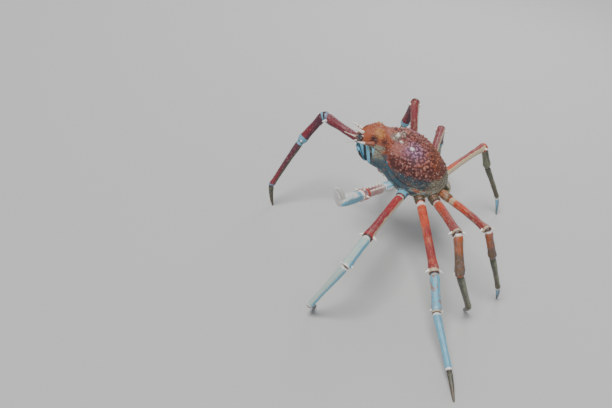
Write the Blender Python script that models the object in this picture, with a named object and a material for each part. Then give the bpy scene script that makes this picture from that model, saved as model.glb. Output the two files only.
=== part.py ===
"""Japanese spider crab standing on the floor, life size, in metres.

The crab faces -Y and its left side is +X. The body is modelled in its own frame, with the
middle of the shell at the origin, and hangs on an empty that gives it its height and slope.
Each limb is a chain of straight segments. A small table holds the heading and rise of each
segment, and the segment above each foot slopes so that the foot meets the floor.
"""
import math
import random

import bmesh
import bpy
from mathutils import Matrix, Vector

# Driving sizes in metres
SHELL_LENGTH = 0.250
BODY_HEIGHT = 0.252
GAP = 0.0003
NOSE_UP = math.radians(4.2)

# Walking leg of scale 1, then the scale of each pair
MERUS_LENGTH = 0.225
CARPUS_LENGTH = 0.099
PROPODUS_LENGTH = 0.144
DACTYL_LENGTH = 0.0675
MERUS_RADIUS = 0.0115
CARPUS_RADIUS = 0.0112
PROPODUS_RADIUS = 0.0085
DACTYL_RADIUS = 0.0060
PAIR_SCALE = {1: 1.01, 2: 1.00, 3: 0.97, 4: 0.84}

# Claw leg
CLAW_MERUS_LENGTH = 0.142
CLAW_CARPUS_LENGTH = 0.031
PALM_LENGTH = 0.094
FINGER_LENGTH = 0.058
CLAW_MERUS_RADIUS = 0.0120
CLAW_CARPUS_RADIUS = 0.0130
PALM_RADIUS = 0.0135
FINGER_RADIUS = 0.0075
FINGER_OFFSET = 0.0085

# Hip joints of the left side in the body's frame: x out, y to the rear, z up
HIP = {
    "claw": (0.0425, -0.0300, -0.0400),
    1: (0.0550, 0.0000, -0.0425),
    2: (0.0625, 0.0325, -0.0412),
    3: (0.0588, 0.0650, -0.0375),
    4: (0.0475, 0.0925, -0.0325),
}
HIP_HEADING = {"claw": -60, 1: -25, 2: 10, 3: 28, 4: 55}
HIP_FALL = 0.25
RIGHT_CLAW_HIP_HEADING = -10
RIGHT_CLAW_HIP_FALL = 0.80
HIP_LENGTH = 0.0325
HIP_ROOT = 0.011
HIP_RADIUS = {"claw": 0.0120, 1: 0.0135, 2: 0.0135, 3: 0.0130, 4: 0.0115}

# Heading and rise in degrees. Heading 0 points straight out to the crab's side and grows
# towards its rear. The propodus has a heading only, because its rise follows from the floor.
LEG_POSE = {
    ("left", 1): {"merus": (-26, -1), "carpus": (-31, -17), "propodus": -108, "dactyl": (158, -34)},
    ("left", 2): {"merus": (6, -17), "carpus": (2, -28), "propodus": 11, "dactyl": (7, -26)},
    ("left", 3): {"merus": (3, 12), "carpus": (26, -63), "propodus": 129, "dactyl": (173, -40)},
    ("left", 4): {"merus": (18, 9), "carpus": (103, -67), "propodus": 123, "dactyl": (150, -60)},
    ("right", 1): {"merus": (-68, 20), "carpus": (-92, -60), "propodus": -118, "dactyl": (60, -77)},
    ("right", 2): {"merus": (3, 25), "carpus": (-14, -69), "propodus": 9, "dactyl": (5, -76)},
    ("right", 3): {"merus": (16, 6), "carpus": (18, -52), "propodus": 18, "dactyl": (18, -59)},
    ("right", 4): {"merus": (43, 9), "carpus": (54, -62), "propodus": 74, "dactyl": (100, -78)},
}
CLAW_POSE = {
    "left": {"merus": (-28, 18), "carpus": (-29, 17), "palm": (-35, 14), "finger": (-45, 50)},
    "right": {"merus": (6, -27), "carpus": (25, -29), "palm": (28, -28), "finger": (20, -20)},
}

# Shell stations as parts of its length: y from the body's origin, half width, rim, top.
# The rim rises to the head, as the mouth's side walls under it do.
SHELL_STATIONS = (
    (-0.579, 0.050, 0.175, 0.258),
    (-0.500, 0.105, 0.190, 0.334),
    (-0.379, 0.155, 0.175, 0.362),
    (-0.300, 0.170, 0.120, 0.356),
    (-0.230, 0.195, 0.050, 0.364),
    (-0.160, 0.245, -0.015, 0.366),
    (-0.080, 0.300, -0.045, 0.350),
    (0.020, 0.338, -0.057, 0.318),
    (0.120, 0.357, -0.060, 0.279),
    (0.270, 0.310, -0.060, 0.176),
    (0.360, 0.220, -0.060, 0.100),
    (0.421, 0.100, -0.058, 0.015),
)
SHELL_DOME_POWER = 0.75

# Lobes and grooves of the shell: side, y, radius, height, all as parts of its length
SHELL_LOBES = (
    (0.000, -0.400, 0.080, 0.010),
    (0.105, -0.410, 0.050, 0.030),
    (0.000, -0.270, 0.050, -0.014),
    (0.140, -0.235, 0.050, -0.026),
    (0.000, -0.090, 0.090, 0.016),
    (0.200, 0.000, 0.110, 0.018),
    (0.100, -0.010, 0.045, -0.014),
    (0.000, 0.080, 0.045, -0.012),
    (0.000, 0.190, 0.070, 0.016),
    (0.190, 0.170, 0.090, 0.014),
)

# Underside stations as parts of the shell's length: y, depth of the keel
KEEL_STATIONS = (
    (-0.562, 0.150),
    (-0.530, 0.115),
    (-0.508, 0.070),
    (-0.470, 0.020),
    (-0.415, -0.030),
    (-0.350, -0.055),
    (-0.280, -0.075),
    (-0.220, -0.120),
    (-0.150, -0.175),
    (-0.050, -0.215),
    (0.100, -0.232),
    (0.300, -0.205),
    (0.380, -0.170),
    (0.412, -0.110),
)

# Abdomen folded under the rear, as parts of the shell's length: y, z, half width
ABDOMEN_STATIONS = (
    (0.375, -0.090, 0.070),
    (0.440, -0.105, 0.082),
    (0.487, -0.150, 0.088),
    (0.465, -0.205, 0.085),
    (0.380, -0.238, 0.080),
    (0.220, -0.256, 0.065),
    (0.070, -0.262, 0.036),
)
ABDOMEN_THICKNESS = 0.034

BODY_ROWS = 26
SHELL_COLUMNS = 20

TUBERCLE_COUNT = 140
TUBERCLE_RADIUS = (0.0021, 0.0042)
TUBERCLE_SPACING = 0.0088

# Spines of the shell: y as a part of its length, part of the half width, length in metres
RIM_SPINES = (
    (-0.31, 0.008), (-0.21, 0.010), (-0.10, 0.010), (0.0, 0.010), (0.10, 0.009), (0.20, 0.009), (0.29, 0.008)
)
BACK_SPINES = ((-0.36, 0.55, 0.006), (-0.05, 0.52, 0.008), (0.12, 0.58, 0.007))
MIDLINE_SPINES = ((-0.42, 0.006), (-0.13, 0.008), (0.05, 0.007), (0.22, 0.007))

# The underside keeps the gap from the shell also where their joint slopes
UNDERSIDE_DROP = GAP * 1.3
SEED = 41

NODES = bpy.data.collections.new("spider_crab")
CUTTERS = bpy.data.collections.new("cutters")

# Plain colours of the kinds of sub-part: colour, roughness
KINDS = {
    "shell": ((0.52, 0.16, 0.08), 0.62),
    "underside": ((0.72, 0.60, 0.47), 0.60),
    "limb": ((0.60, 0.18, 0.09), 0.48),
    "limb_end": ((0.74, 0.52, 0.36), 0.50),
    "claw": ((0.80, 0.62, 0.52), 0.45),
    "eye": ((0.02, 0.015, 0.015), 0.15),
    "feeler": ((0.80, 0.70, 0.60), 0.55),
}


def clear_scene():
    """Remove every object that the file starts with."""
    for old in list(bpy.data.objects):
        bpy.data.objects.remove(old, do_unlink=True)


def add_collections():
    """Put the parts in one collection and the cutters in another, out of the render."""
    for collection in (NODES, CUTTERS):
        bpy.context.scene.collection.children.link(collection)
    CUTTERS.hide_render = True


def make_material(name, kind):
    """A Principled material of a node's own, with the plain colour of its kind."""
    colour, roughness = KINDS[kind]
    material = bpy.data.materials.new(name)
    material.use_nodes = True
    shader = material.node_tree.nodes["Principled BSDF"]
    shader.inputs["Base Color"].default_value = (*colour, 1.0)
    shader.inputs["Roughness"].default_value = roughness
    shader.inputs["Metallic"].default_value = 0.0
    return material


def mesh_object(name, mesh, collection, parent=None):
    """An object for a mesh, in one collection and under one parent."""
    thing = bpy.data.objects.new(name, mesh)
    collection.objects.link(thing)
    thing.parent = parent
    return thing


def loft(name, rings):
    """A closed mesh through rings of equal count, with a flat cap at each end."""
    shape = bmesh.new()
    rows = [[shape.verts.new(point) for point in ring] for ring in rings]
    count = len(rows[0])
    for lower, upper in zip(rows, rows[1:]):
        for i in range(count):
            j = (i + 1) % count
            shape.faces.new((lower[i], lower[j], upper[j], upper[i]))
    shape.faces.new(rows[0])
    shape.faces.new(rows[-1])
    bmesh.ops.recalc_face_normals(shape, faces=shape.faces)
    mesh = bpy.data.meshes.new(name)
    shape.to_mesh(mesh)
    shape.free()
    return mesh


def spike(name, root, tip, radius, parent, tip_radius=0.0, sides=5):
    """A primitive cone from its root to its tip, in the collection of cutters."""
    shape = bmesh.new()
    axis = tip - root
    bmesh.ops.create_cone(
        shape, cap_ends=True, segments=sides, radius1=radius, radius2=tip_radius, depth=axis.length
    )
    turn = axis.to_track_quat("Z", "Y").to_matrix().to_4x4()
    bmesh.ops.transform(
        shape, matrix=Matrix.Translation((root + tip) / 2) @ turn, verts=shape.verts
    )
    mesh = bpy.data.meshes.new(name)
    shape.to_mesh(mesh)
    shape.free()
    return mesh_object(name, mesh, CUTTERS, parent)


def bake(thing):
    """Replace an object's mesh by its evaluated mesh and drop its modifiers."""
    bpy.context.view_layer.update()
    graph = bpy.context.evaluated_depsgraph_get()
    mesh = bpy.data.meshes.new_from_object(thing.evaluated_get(graph))
    thing.modifiers.clear()
    thing.data = mesh


def keep_largest_surface(thing):
    """Keep the largest connected surface of an object's mesh."""
    shape = bmesh.new()
    shape.from_mesh(thing.data)
    shape.faces.ensure_lookup_table()
    left = set(shape.faces)
    surfaces = []
    while left:
        surface = {left.pop()}
        border = list(surface)
        while border:
            face = border.pop()
            near = {other for edge in face.edges for other in edge.link_faces} & left
            left -= near
            surface |= near
            border.extend(near)
        surfaces.append(surface)
    surfaces.sort(key=lambda faces: sum(face.calc_area() for face in faces))
    for surface in surfaces[:-1]:
        bmesh.ops.delete(shape, geom=list(surface), context="FACES")
    shape.to_mesh(thing.data)
    shape.free()


def combine(thing, pieces, operation, solver="EXACT"):
    """Join a list of closed meshes to an object, or cut them from it, and remove them."""
    group = bpy.data.collections.new("combined_pieces")
    bpy.context.scene.collection.children.link(group)
    for piece in pieces:
        CUTTERS.objects.unlink(piece)
        group.objects.link(piece)
        piece.display_type = "WIRE"
        piece.hide_render = True
    boolean = thing.modifiers.new(operation.lower(), "BOOLEAN")
    boolean.operation = operation
    boolean.operand_type = "COLLECTION"
    boolean.collection = group
    boolean.solver = solver
    bake(thing)
    for piece in pieces:
        bpy.data.objects.remove(piece, do_unlink=True)
    bpy.data.collections.remove(group)
    keep_largest_surface(thing)


def grown_copy(thing):
    """A copy of a node that is larger by the gap all round, to cut its seat with."""
    shape = bmesh.new()
    shape.from_mesh(thing.data)
    shape.normal_update()
    for vertex in shape.verts:
        vertex.co += vertex.normal * GAP * 1.25
    mesh = bpy.data.meshes.new(thing.name + "_seat")
    shape.to_mesh(mesh)
    shape.free()
    return mesh_object(thing.name + "_seat", mesh, CUTTERS, thing.parent)


def add_node(name, mesh, kind, parent):
    """A node of the crab: a named object with a material of its own."""
    thing = mesh_object(name, mesh, NODES, parent)
    thing.data.materials.clear()
    thing.data.materials.append(make_material(name, kind))
    return thing


def between(stations, place, column):
    """Smooth value of one column of a station table at a place in its first column."""
    if place <= stations[0][0]:
        return stations[0][column]
    for low, high in zip(stations, stations[1:]):
        if place <= high[0]:
            break
    else:
        return stations[-1][column]
    index = stations.index(low)
    before = stations[max(index - 1, 0)]
    after = stations[min(index + 2, len(stations) - 1)]
    span = high[0] - low[0]
    t = (place - low[0]) / span
    slope_low = (high[column] - before[column]) / (high[0] - before[0]) * span
    slope_high = (after[column] - low[column]) / (after[0] - low[0]) * span
    return (
        (2 * t**3 - 3 * t**2 + 1) * low[column]
        + (t**3 - 2 * t**2 + t) * slope_low
        + (3 * t**2 - 2 * t**3) * high[column]
        + (t**3 - t**2) * slope_high
    )


def shell_half_width(y):
    """Half width of the shell at y metres behind the body's origin."""
    return SHELL_LENGTH * between(SHELL_STATIONS, y / SHELL_LENGTH, 1)


def rim_height(y):
    """Height of the shell's rim at y."""
    return SHELL_LENGTH * between(SHELL_STATIONS, y / SHELL_LENGTH, 2)


def shell_height(x, y):
    """Height of the shell's top at x, y: a dome from rim to rim with its lobes and grooves."""
    rim = rim_height(y)
    top = SHELL_LENGTH * between(SHELL_STATIONS, y / SHELL_LENGTH, 3)
    across = min(abs(x) / shell_half_width(y), 1.0)
    dome = (1.0 - across * across) ** (SHELL_DOME_POWER / 2)
    relief = 0.0
    for side, place, radius, height in SHELL_LOBES:
        for mirrored in {side, -side}:
            away = ((x / SHELL_LENGTH - mirrored) ** 2 + (y / SHELL_LENGTH - place) ** 2) / radius**2
            relief += height * math.exp(-away)
    return rim + (top - rim + SHELL_LENGTH * relief) * dome


def shell_normal(x, y):
    """Outward direction of the shell's top at x, y."""
    step = 0.002
    slope_x = (shell_height(x + step, y) - shell_height(x - step, y)) / (2 * step)
    slope_y = (shell_height(x, y + step) - shell_height(x, y - step)) / (2 * step)
    return Vector((-slope_x, -slope_y, 1.0)).normalized()


def body_rows():
    """Places along the body, closer together towards its ends, which shell and underside share."""
    first = SHELL_STATIONS[0][0] * SHELL_LENGTH
    last = SHELL_STATIONS[-1][0] * SHELL_LENGTH
    places = []
    for row in range(BODY_ROWS + 1):
        part = row / BODY_ROWS
        spread = 0.35 * (0.5 - 0.5 * math.cos(math.pi * part)) + 0.65 * part
        places.append(first + (last - first) * spread)
    return places


def shell_mesh():
    """The domed shell: one ring across the body for each place along it, flat underneath."""
    rings = []
    for y in body_rows():
        half = shell_half_width(y)
        ring = []
        for column in range(SHELL_COLUMNS + 1):
            x = half * math.cos(math.pi * column / SHELL_COLUMNS)
            ring.append((x, y, shell_height(x, y)))
        rings.append(ring)
    return loft("carapace", rings)


def tubercles(parent):
    """Rounded tubercles of two sizes, scattered at least a spacing apart on the shell."""
    draw = random.Random(SEED)
    places = []
    pieces = []
    tries = 0
    while len(places) < TUBERCLE_COUNT and tries < 6000:
        tries += 1
        y = draw.uniform(-0.53, 0.40) * SHELL_LENGTH
        x = math.sin(draw.uniform(-1.3, 1.3)) * shell_half_width(y)
        if any(math.hypot(x - a, y - b) < TUBERCLE_SPACING for a, b in places):
            continue
        places.append((x, y))
        radius = draw.uniform(*TUBERCLE_RADIUS)
        foot = Vector((x, y, shell_height(x, y)))
        out = shell_normal(x, y)
        pieces.append(
            spike("tubercle", foot - out * radius, foot + out * radius * 0.95, radius * 1.15,
                  parent, tip_radius=radius * 0.45)
        )
    return pieces


def surface_spine(name, x, y, lean, length, radius, parent):
    """A short spine on the shell at x, y, along its normal and a lean, with a blunt tip."""
    foot = Vector((x, y, shell_height(x, y)))
    way = (shell_normal(x, y) + Vector(lean)).normalized()
    return spike(name, foot - way * radius * 1.2, foot + way * length, radius, parent, radius * 0.2)


def shell_spines(parent):
    """Horns with a spur each, a long spine behind each eye, and spines on the rim and midline."""
    pieces = []
    for side in (-1, 1):
        root = Vector((side * 0.0078, -0.1270, 0.0665))
        tip = Vector((side * 0.0165, -0.1695, 0.0792))
        pieces.append(spike("horn", root, tip, 0.0058, parent, 0.0010, 7))
        root = Vector((side * 0.0115, -0.1450, 0.0715))
        tip = Vector((side * 0.0130, -0.1500, 0.0880))
        pieces.append(spike("horn_spur", root, tip, 0.0030, parent, 0.0007, 5))
        root = Vector((side * 0.0310, -0.1060, 0.0560))
        tip = Vector((side * 0.0400, -0.1500, 0.0560))
        pieces.append(spike("eye_spine", root, tip, 0.0060, parent, 0.0008, 6))
        for place, length in RIM_SPINES:
            y = place * SHELL_LENGTH
            x = side * 0.93 * shell_half_width(y)
            lean = (side * 0.6, -0.35, 0.10)
            pieces.append(surface_spine("rim_spine", x, y, lean, length, 0.0036, parent))
        for place, out, length in BACK_SPINES:
            y = place * SHELL_LENGTH
            x = side * out * shell_half_width(y)
            pieces.append(surface_spine("back_spine", x, y, (0, -0.3, 0.2), length, 0.0042, parent))
    for place, length in MIDLINE_SPINES:
        y = place * SHELL_LENGTH
        pieces.append(surface_spine("midline_spine", 0.0, y, (0, -0.2, 0.2), length, 0.0050, parent))
    return pieces


def underside_mesh():
    """The body under the shell: flat on top, side walls sloping in to a narrow keel."""
    outline = ((1.0, 0.0), (1.0, 0.28), (0.95, 0.55), (0.82, 0.78), (0.62, 0.94), (0.34, 1.0))
    first = KEEL_STATIONS[0][0] * SHELL_LENGTH
    last = KEEL_STATIONS[-1][0] * SHELL_LENGTH
    rings = []
    for y in body_rows():
        if not first <= y <= last:
            continue
        half = 0.955 * shell_half_width(y)
        top = rim_height(y) - UNDERSIDE_DROP
        depth = between(KEEL_STATIONS, y / SHELL_LENGTH, 1) * SHELL_LENGTH - top
        near = [(half * out, y, top + depth * down) for out, down in outline]
        far = [(-x, y, z) for x, y, z in reversed(near)]
        rings.append(near + far)
    return loft("underbody", rings)


def abdomen_mesh():
    """The tail, folded under the rear: a flattened strip along its bent midline."""
    points = [Vector((0, y, z)) * SHELL_LENGTH for y, z, _ in ABDOMEN_STATIONS]
    rings = []
    for index, (_, _, half) in enumerate(ABDOMEN_STATIONS):
        before = points[max(index - 1, 0)]
        after = points[min(index + 1, len(points) - 1)]
        along = (after - before).normalized()
        out = Vector((0, -along.z, along.y))
        ring = []
        for step in range(10):
            angle = 2 * math.pi * step / 10
            x = half * SHELL_LENGTH * math.copysign(abs(math.cos(angle)) ** 0.7, math.cos(angle))
            lift = ABDOMEN_THICKNESS / 2 * SHELL_LENGTH * math.sin(angle)
            ring.append(points[index] + Vector((x, 0, 0)) + out * lift)
        rings.append(ring)
    return loft("abdomen", rings)


def ball(name, centre, radii, segments=12, rows=8):
    """A primitive sphere, stretched and moved."""
    shape = bmesh.new()
    bmesh.ops.create_uvsphere(shape, u_segments=segments, v_segments=rows, radius=1.0)
    stretch = Matrix.Diagonal((*radii, 1.0))
    bmesh.ops.transform(shape, matrix=Matrix.Translation(centre) @ stretch, verts=shape.verts)
    mesh = bpy.data.meshes.new(name)
    shape.to_mesh(mesh)
    shape.free()
    return mesh


def antenna_mesh(side):
    """A short jointed stalk that thins to a feeler, as rings along a bent line."""
    root = Vector((side * 0.0062, -0.1385, 0.0460))
    rings = []
    steps = 9
    for step in range(steps + 1):
        t = step / steps
        centre = root + Vector((side * (0.016 * t + 0.008 * t * t), -0.036 * t, -0.0035 * t))
        radius = 0.0036 * (1 - t) ** 2.2 + 0.0009
        ring = []
        for corner in range(6):
            angle = 2 * math.pi * corner / 6
            ring.append(centre + Vector((radius * math.cos(angle), 0, radius * math.sin(angle))))
        rings.append(ring)
    return loft("antenna", rings)


def maxilliped_mesh(side):
    """One of the two plates that cover the mouth, as rings from its hinge up to its tip."""
    rings = []
    steps = 7
    for step in range(steps + 1):
        t = step / steps
        swell = math.sin(math.pi * (0.12 + 0.80 * t)) ** 0.6
        centre = Vector((side * 0.0093, -0.1365 + 0.0050 * t + 0.0220 * t * t, 0.0290 - 0.0340 * t))
        ring = []
        for corner in range(8):
            angle = 2 * math.pi * corner / 8
            ring.append(
                centre + Vector((0.0080 * swell * math.cos(angle), 0.0052 * swell * math.sin(angle), 0.0))
            )
        rings.append(ring)
    return loft("maxilliped", rings)


def heading_vector(side, heading, rise):
    """Unit vector of a heading and a rise in degrees, mirrored on the right side."""
    turn = math.radians(heading)
    climb = math.radians(rise)
    out = math.cos(turn) * math.cos(climb)
    return Vector((side * out, math.sin(turn) * math.cos(climb), math.sin(climb)))


def body_matrix():
    """Place of the body's frame over the floor."""
    return Matrix.Translation((0, 0, BODY_HEIGHT)) @ Matrix.Rotation(-NOSE_UP, 4, "X")


def hip_points(side, limb):
    """Hip joint, sunk root and outer end of a limb's base, over the floor."""
    x, y, z = HIP[limb]
    hip = body_matrix() @ Vector((side * x, y, z))
    heading, fall = HIP_HEADING[limb], HIP_FALL
    if side < 0 and limb == "claw":
        heading, fall = RIGHT_CLAW_HIP_HEADING, RIGHT_CLAW_HIP_FALL
    turn = math.radians(heading)
    way = Vector((side * math.cos(turn), math.sin(turn), -fall))
    way = (body_matrix().to_3x3() @ way).normalized()
    return hip - way * HIP_ROOT, hip + way * HIP_LENGTH


def leg_points(side_name, pair):
    """Joint points of one walking leg, from its sunk root to its foot on the floor."""
    side = 1 if side_name == "left" else -1
    pose = LEG_POSE[(side_name, pair)]
    scale = PAIR_SCALE[pair]
    root, start = hip_points(side, pair)
    knee = start + heading_vector(side, *pose["merus"]) * MERUS_LENGTH * scale
    wrist = knee + heading_vector(side, *pose["carpus"]) * CARPUS_LENGTH * scale
    dactyl = heading_vector(side, *pose["dactyl"]) * DACTYL_LENGTH * scale
    length = PROPODUS_LENGTH * scale
    drop = wrist.z + dactyl.z
    rise = -math.degrees(math.asin(drop / length))
    ankle = wrist + heading_vector(side, pose["propodus"], rise) * length
    return [root, start, knee, wrist, ankle, ankle + dactyl]


def claw_points(side_name):
    """Joint points of one claw leg, from its sunk root to the end of its palm."""
    side = 1 if side_name == "left" else -1
    pose = CLAW_POSE[side_name]
    root, start = hip_points(side, "claw")
    points = [root, start]
    lengths = (("merus", CLAW_MERUS_LENGTH), ("carpus", CLAW_CARPUS_LENGTH), ("palm", PALM_LENGTH))
    for segment, length in lengths:
        points.append(points[-1] + heading_vector(side, *pose[segment]) * length)
    return points


def stance_middle():
    """Middle of the joint points in x and y, which the part's origin lies under."""
    points = [point for side, pair in LEG_POSE for point in leg_points(side, pair)]
    low = Vector((min(point.x for point in points), min(point.y for point in points), 0))
    high = Vector((max(point.x for point in points), max(point.y for point in points), 0))
    return (low + high) / 2


def chain_frames(points):
    """Direction and side vector of each segment, with the side carried along the chain."""
    frames = []
    side = None
    for start, end in zip(points, points[1:]):
        along = (end - start).normalized()
        if side is None:
            side = along.cross(Vector((0, 0, 1)))
        side = (side - along * side.dot(along)).normalized()
        frames.append((along, side))
    return frames


def joint_planes(points, frames):
    """Normal of the plane at each joint that halves the bend there."""
    normals = [frames[0][0]]
    for (along, _), (onward, _) in zip(frames, frames[1:]):
        normals.append((along + onward).normalized())
    normals.append(frames[-1][0])
    return normals


def segment_mesh(name, points, frames, normals, index, radius, profile, sides, bow=0.0, end_gap=GAP / 2):
    """A limb segment as rings along its axis, cut at each end by the plane of its joint.

    A ring's points slide along the axis towards the joint planes, fully at the ends and by
    the square of the distance from them elsewhere, so that no ring crosses its neighbour's.
    """
    start, end = points[index], points[index + 1]
    along, side = frames[index]
    up = side.cross(along)
    length = (end - start).length
    first, last = normals[index], normals[index + 1]
    rings = []
    for part, width in profile:
        ring = []
        for corner in range(sides):
            angle = 2 * math.pi * (corner + 0.5) / sides
            out = radius * width * (side * math.cos(angle) + up * math.sin(angle))
            slide_first = (GAP / 2 - out.dot(first)) / along.dot(first)
            slide_last = (-end_gap - out.dot(last)) / along.dot(last)
            travel = length * part + slide_first * (1 - part) ** 2 + slide_last * part**2
            bend = up * bow * length * math.sin(math.pi * part)
            ring.append(start + along * travel + out + bend)
        rings.append(ring)
    return loft(name, rings)


BASE_PROFILE = ((0.0, 0.62), (0.25, 0.84), (0.50, 1.04), (0.74, 1.0), (0.90, 0.98), (1.0, 0.76))
MERUS_PROFILE = (
    (0.0, 0.72), (0.035, 0.94), (0.12, 1.0), (0.45, 0.92),
    (0.80, 0.95), (0.93, 1.14), (0.975, 1.12), (1.0, 0.80)
)
CARPUS_PROFILE = ((0.0, 0.82), (0.10, 1.06), (0.30, 0.98), (0.70, 1.02), (0.90, 1.14), (1.0, 0.76))
PROPODUS_PROFILE = ((0.0, 0.98), (0.10, 1.10), (0.45, 0.92), (0.88, 0.86), (0.955, 0.94), (1.0, 0.70))
DACTYL_PROFILE = ((0.0, 0.98), (0.10, 1.06), (0.40, 0.88), (0.72, 0.62), (0.92, 0.40), (1.0, 0.30))
PALM_PROFILE = ((0.0, 0.62), (0.10, 0.86), (0.35, 1.0), (0.65, 1.04), (0.90, 0.98), (1.0, 0.80))


def joint_spurs(points, frames, index, radius, place, reach, parent, sides=(-1, 1)):
    """Blunt spurs at both sides of a segment's far end, which point out and on."""
    start, end = points[index], points[index + 1]
    along, side = frames[index]
    pieces = []
    for turn in sides:
        foot = start + (end - start) * place
        root = foot + side * turn * radius * 0.35 - along * radius * 0.2
        tip = foot + side * turn * (radius + reach) + along * reach * 0.75
        pieces.append(spike("spur", root, tip, radius * 0.42, parent, radius * 0.06))
    return pieces


def add_leg(side_name, pair, parent):
    """The five segments of one walking leg, and the spurs at its knee and wrist."""
    points = leg_points(side_name, pair)
    frames = chain_frames(points)
    normals = joint_planes(points, frames)
    normals[-1] = Vector((0, 0, -1))
    scale = PAIR_SCALE[pair]
    rows = (
        ("base", HIP_RADIUS[pair], BASE_PROFILE, 10, 0.0, "limb"),
        ("merus", MERUS_RADIUS * scale, MERUS_PROFILE, 10, 0.012, "limb"),
        ("carpus", CARPUS_RADIUS * scale, CARPUS_PROFILE, 10, 0.010, "limb"),
        ("propodus", PROPODUS_RADIUS * scale, PROPODUS_PROFILE, 9, 0.008, "limb_end"),
        ("dactyl", DACTYL_RADIUS * scale, DACTYL_PROFILE, 8, 0.030, "limb_end"),
    )
    made = {}
    for index, (segment, radius, profile, sides, bow, kind) in enumerate(rows):
        name = f"{side_name}_leg_{pair}_{segment}"
        end_gap = 0.0 if segment == "dactyl" else GAP / 2
        mesh = segment_mesh(name, points, frames, normals, index, radius, profile, sides, bow, end_gap)
        made[segment] = add_node(name, mesh, kind, parent)
    knee = joint_spurs(points, frames, 1, MERUS_RADIUS * scale, 0.935, 0.0095, parent)
    combine(made["merus"], knee, "UNION")
    wrist = joint_spurs(points, frames, 2, CARPUS_RADIUS * scale, 0.90, 0.0055, parent)
    combine(made["carpus"], wrist, "UNION")
    return made["base"]


def finger_rings(root, along, offset, length, radius):
    """Rings of one finger: it starts beside the claw's axis and bends back towards it."""
    out = offset.normalized()
    side = along.cross(out)
    rings = []
    for part, width in ((0.0, 0.95), (0.12, 1.05), (0.40, 0.86), (0.70, 0.60), (0.90, 0.36), (1.0, 0.16)):
        sway = offset * (1 - 0.78 * part**1.5) + out * 0.0045 * math.sin(math.pi * part)
        centre = root + along * length * part + sway
        ring = []
        for corner in range(7):
            angle = 2 * math.pi * corner / 7
            ring.append(centre + radius * width * (out * math.cos(angle) + side * math.sin(angle)))
        rings.append(ring)
    return rings


def claw_spines(points, frames, parent):
    """Rows of spines on the claw leg's merus and round the end of its carpus."""
    groups = {"merus": [], "carpus": []}
    start, end = points[1], points[2]
    along, side = frames[1]
    up = side.cross(along)
    for row, angle in enumerate((60, 120, -90)):
        for step in range(5):
            place = 0.16 + 0.17 * step + 0.03 * row
            out = side * math.cos(math.radians(angle)) + up * math.sin(math.radians(angle))
            foot = start + (end - start) * place
            tip = foot + out * (CLAW_MERUS_RADIUS + 0.006) + along * 0.003
            groups["merus"].append(
                spike("spine", foot + out * CLAW_MERUS_RADIUS * 0.45, tip, 0.0036, parent, 0.0006)
            )
    start, end = points[2], points[3]
    along, side = frames[2]
    up = side.cross(along)
    for angle in (90, 20, 160, -90):
        out = side * math.cos(math.radians(angle)) + up * math.sin(math.radians(angle))
        foot = start + (end - start) * 0.60
        tip = foot + out * (CLAW_CARPUS_RADIUS + 0.010) + along * 0.004
        groups["carpus"].append(
            spike("spine", foot + out * CLAW_CARPUS_RADIUS * 0.40, tip, 0.0046, parent, 0.0008)
        )
    return groups


def add_claw(side_name, parent):
    """The claw leg: base, merus, carpus, palm with its fixed finger, and the moving finger."""
    points = claw_points(side_name)
    frames = chain_frames(points)
    normals = joint_planes(points, frames)
    rows = (
        ("base", HIP_RADIUS["claw"], BASE_PROFILE, "limb"),
        ("merus", CLAW_MERUS_RADIUS, MERUS_PROFILE, "limb"),
        ("carpus", CLAW_CARPUS_RADIUS, CARPUS_PROFILE, "limb"),
        ("palm", PALM_RADIUS, PALM_PROFILE, "claw"),
    )
    made = {}
    for index, (segment, radius, profile, kind) in enumerate(rows):
        name = f"{side_name}_claw_{segment}"
        mesh = segment_mesh(name, points, frames, normals, index, radius, profile, 10)
        made[segment] = add_node(name, mesh, kind, parent)
    spines = claw_spines(points, frames, parent)
    combine(made["merus"], spines["merus"], "UNION")
    combine(made["carpus"], spines["carpus"], "UNION")

    side = 1 if side_name == "left" else -1
    along, across = frames[-1]
    up = across.cross(along)
    way = heading_vector(side, *CLAW_POSE[side_name]["finger"])
    end = points[-1]
    fixed = finger_rings(end - along * 0.006, way, -up * FINGER_OFFSET, FINGER_LENGTH, FINGER_RADIUS * 1.05)
    fixed_mesh = loft("fixed_finger", fixed)
    combine(made["palm"], [mesh_object("fixed_finger", fixed_mesh, CUTTERS, parent)], "UNION")
    name = f"{side_name}_claw_finger"
    moving = finger_rings(end - along * 0.004, way, up * FINGER_OFFSET, FINGER_LENGTH, FINGER_RADIUS)
    finger = add_node(name, loft(name, moving), "claw", parent)
    combine(made["palm"], [grown_copy(finger)], "DIFFERENCE")
    return made["base"]


def add_body(parent):
    """The shell, the body under it, the tail and what the head carries."""
    shell = add_node("carapace", shell_mesh(), "shell", parent)
    underbody = add_node("underbody", underside_mesh(), "underside", parent)
    abdomen = add_node("abdomen", abdomen_mesh(), "underside", parent)
    combine(shell, shell_spines(parent) + tubercles(parent), "UNION", "MANIFOLD")
    combine(underbody, [grown_copy(abdomen)], "DIFFERENCE")
    for side_name, side in (("left", 1), ("right", -1)):
        centre = (side * 0.0166, -0.1380, 0.0555)
        eye = add_node(f"{side_name}_eye", ball("eye", centre, (0.0058, 0.0054, 0.0052)), "eye", parent)
        combine(shell, [grown_copy(eye)], "DIFFERENCE")
        antenna = add_node(f"{side_name}_antenna", antenna_mesh(side), "feeler", parent)
        combine(shell, [grown_copy(antenna)], "DIFFERENCE")
        combine(underbody, [grown_copy(antenna)], "DIFFERENCE")
        plate = add_node(f"{side_name}_maxilliped", maxilliped_mesh(side), "underside", parent)
        combine(underbody, [grown_copy(plate)], "DIFFERENCE")
    return underbody


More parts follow.
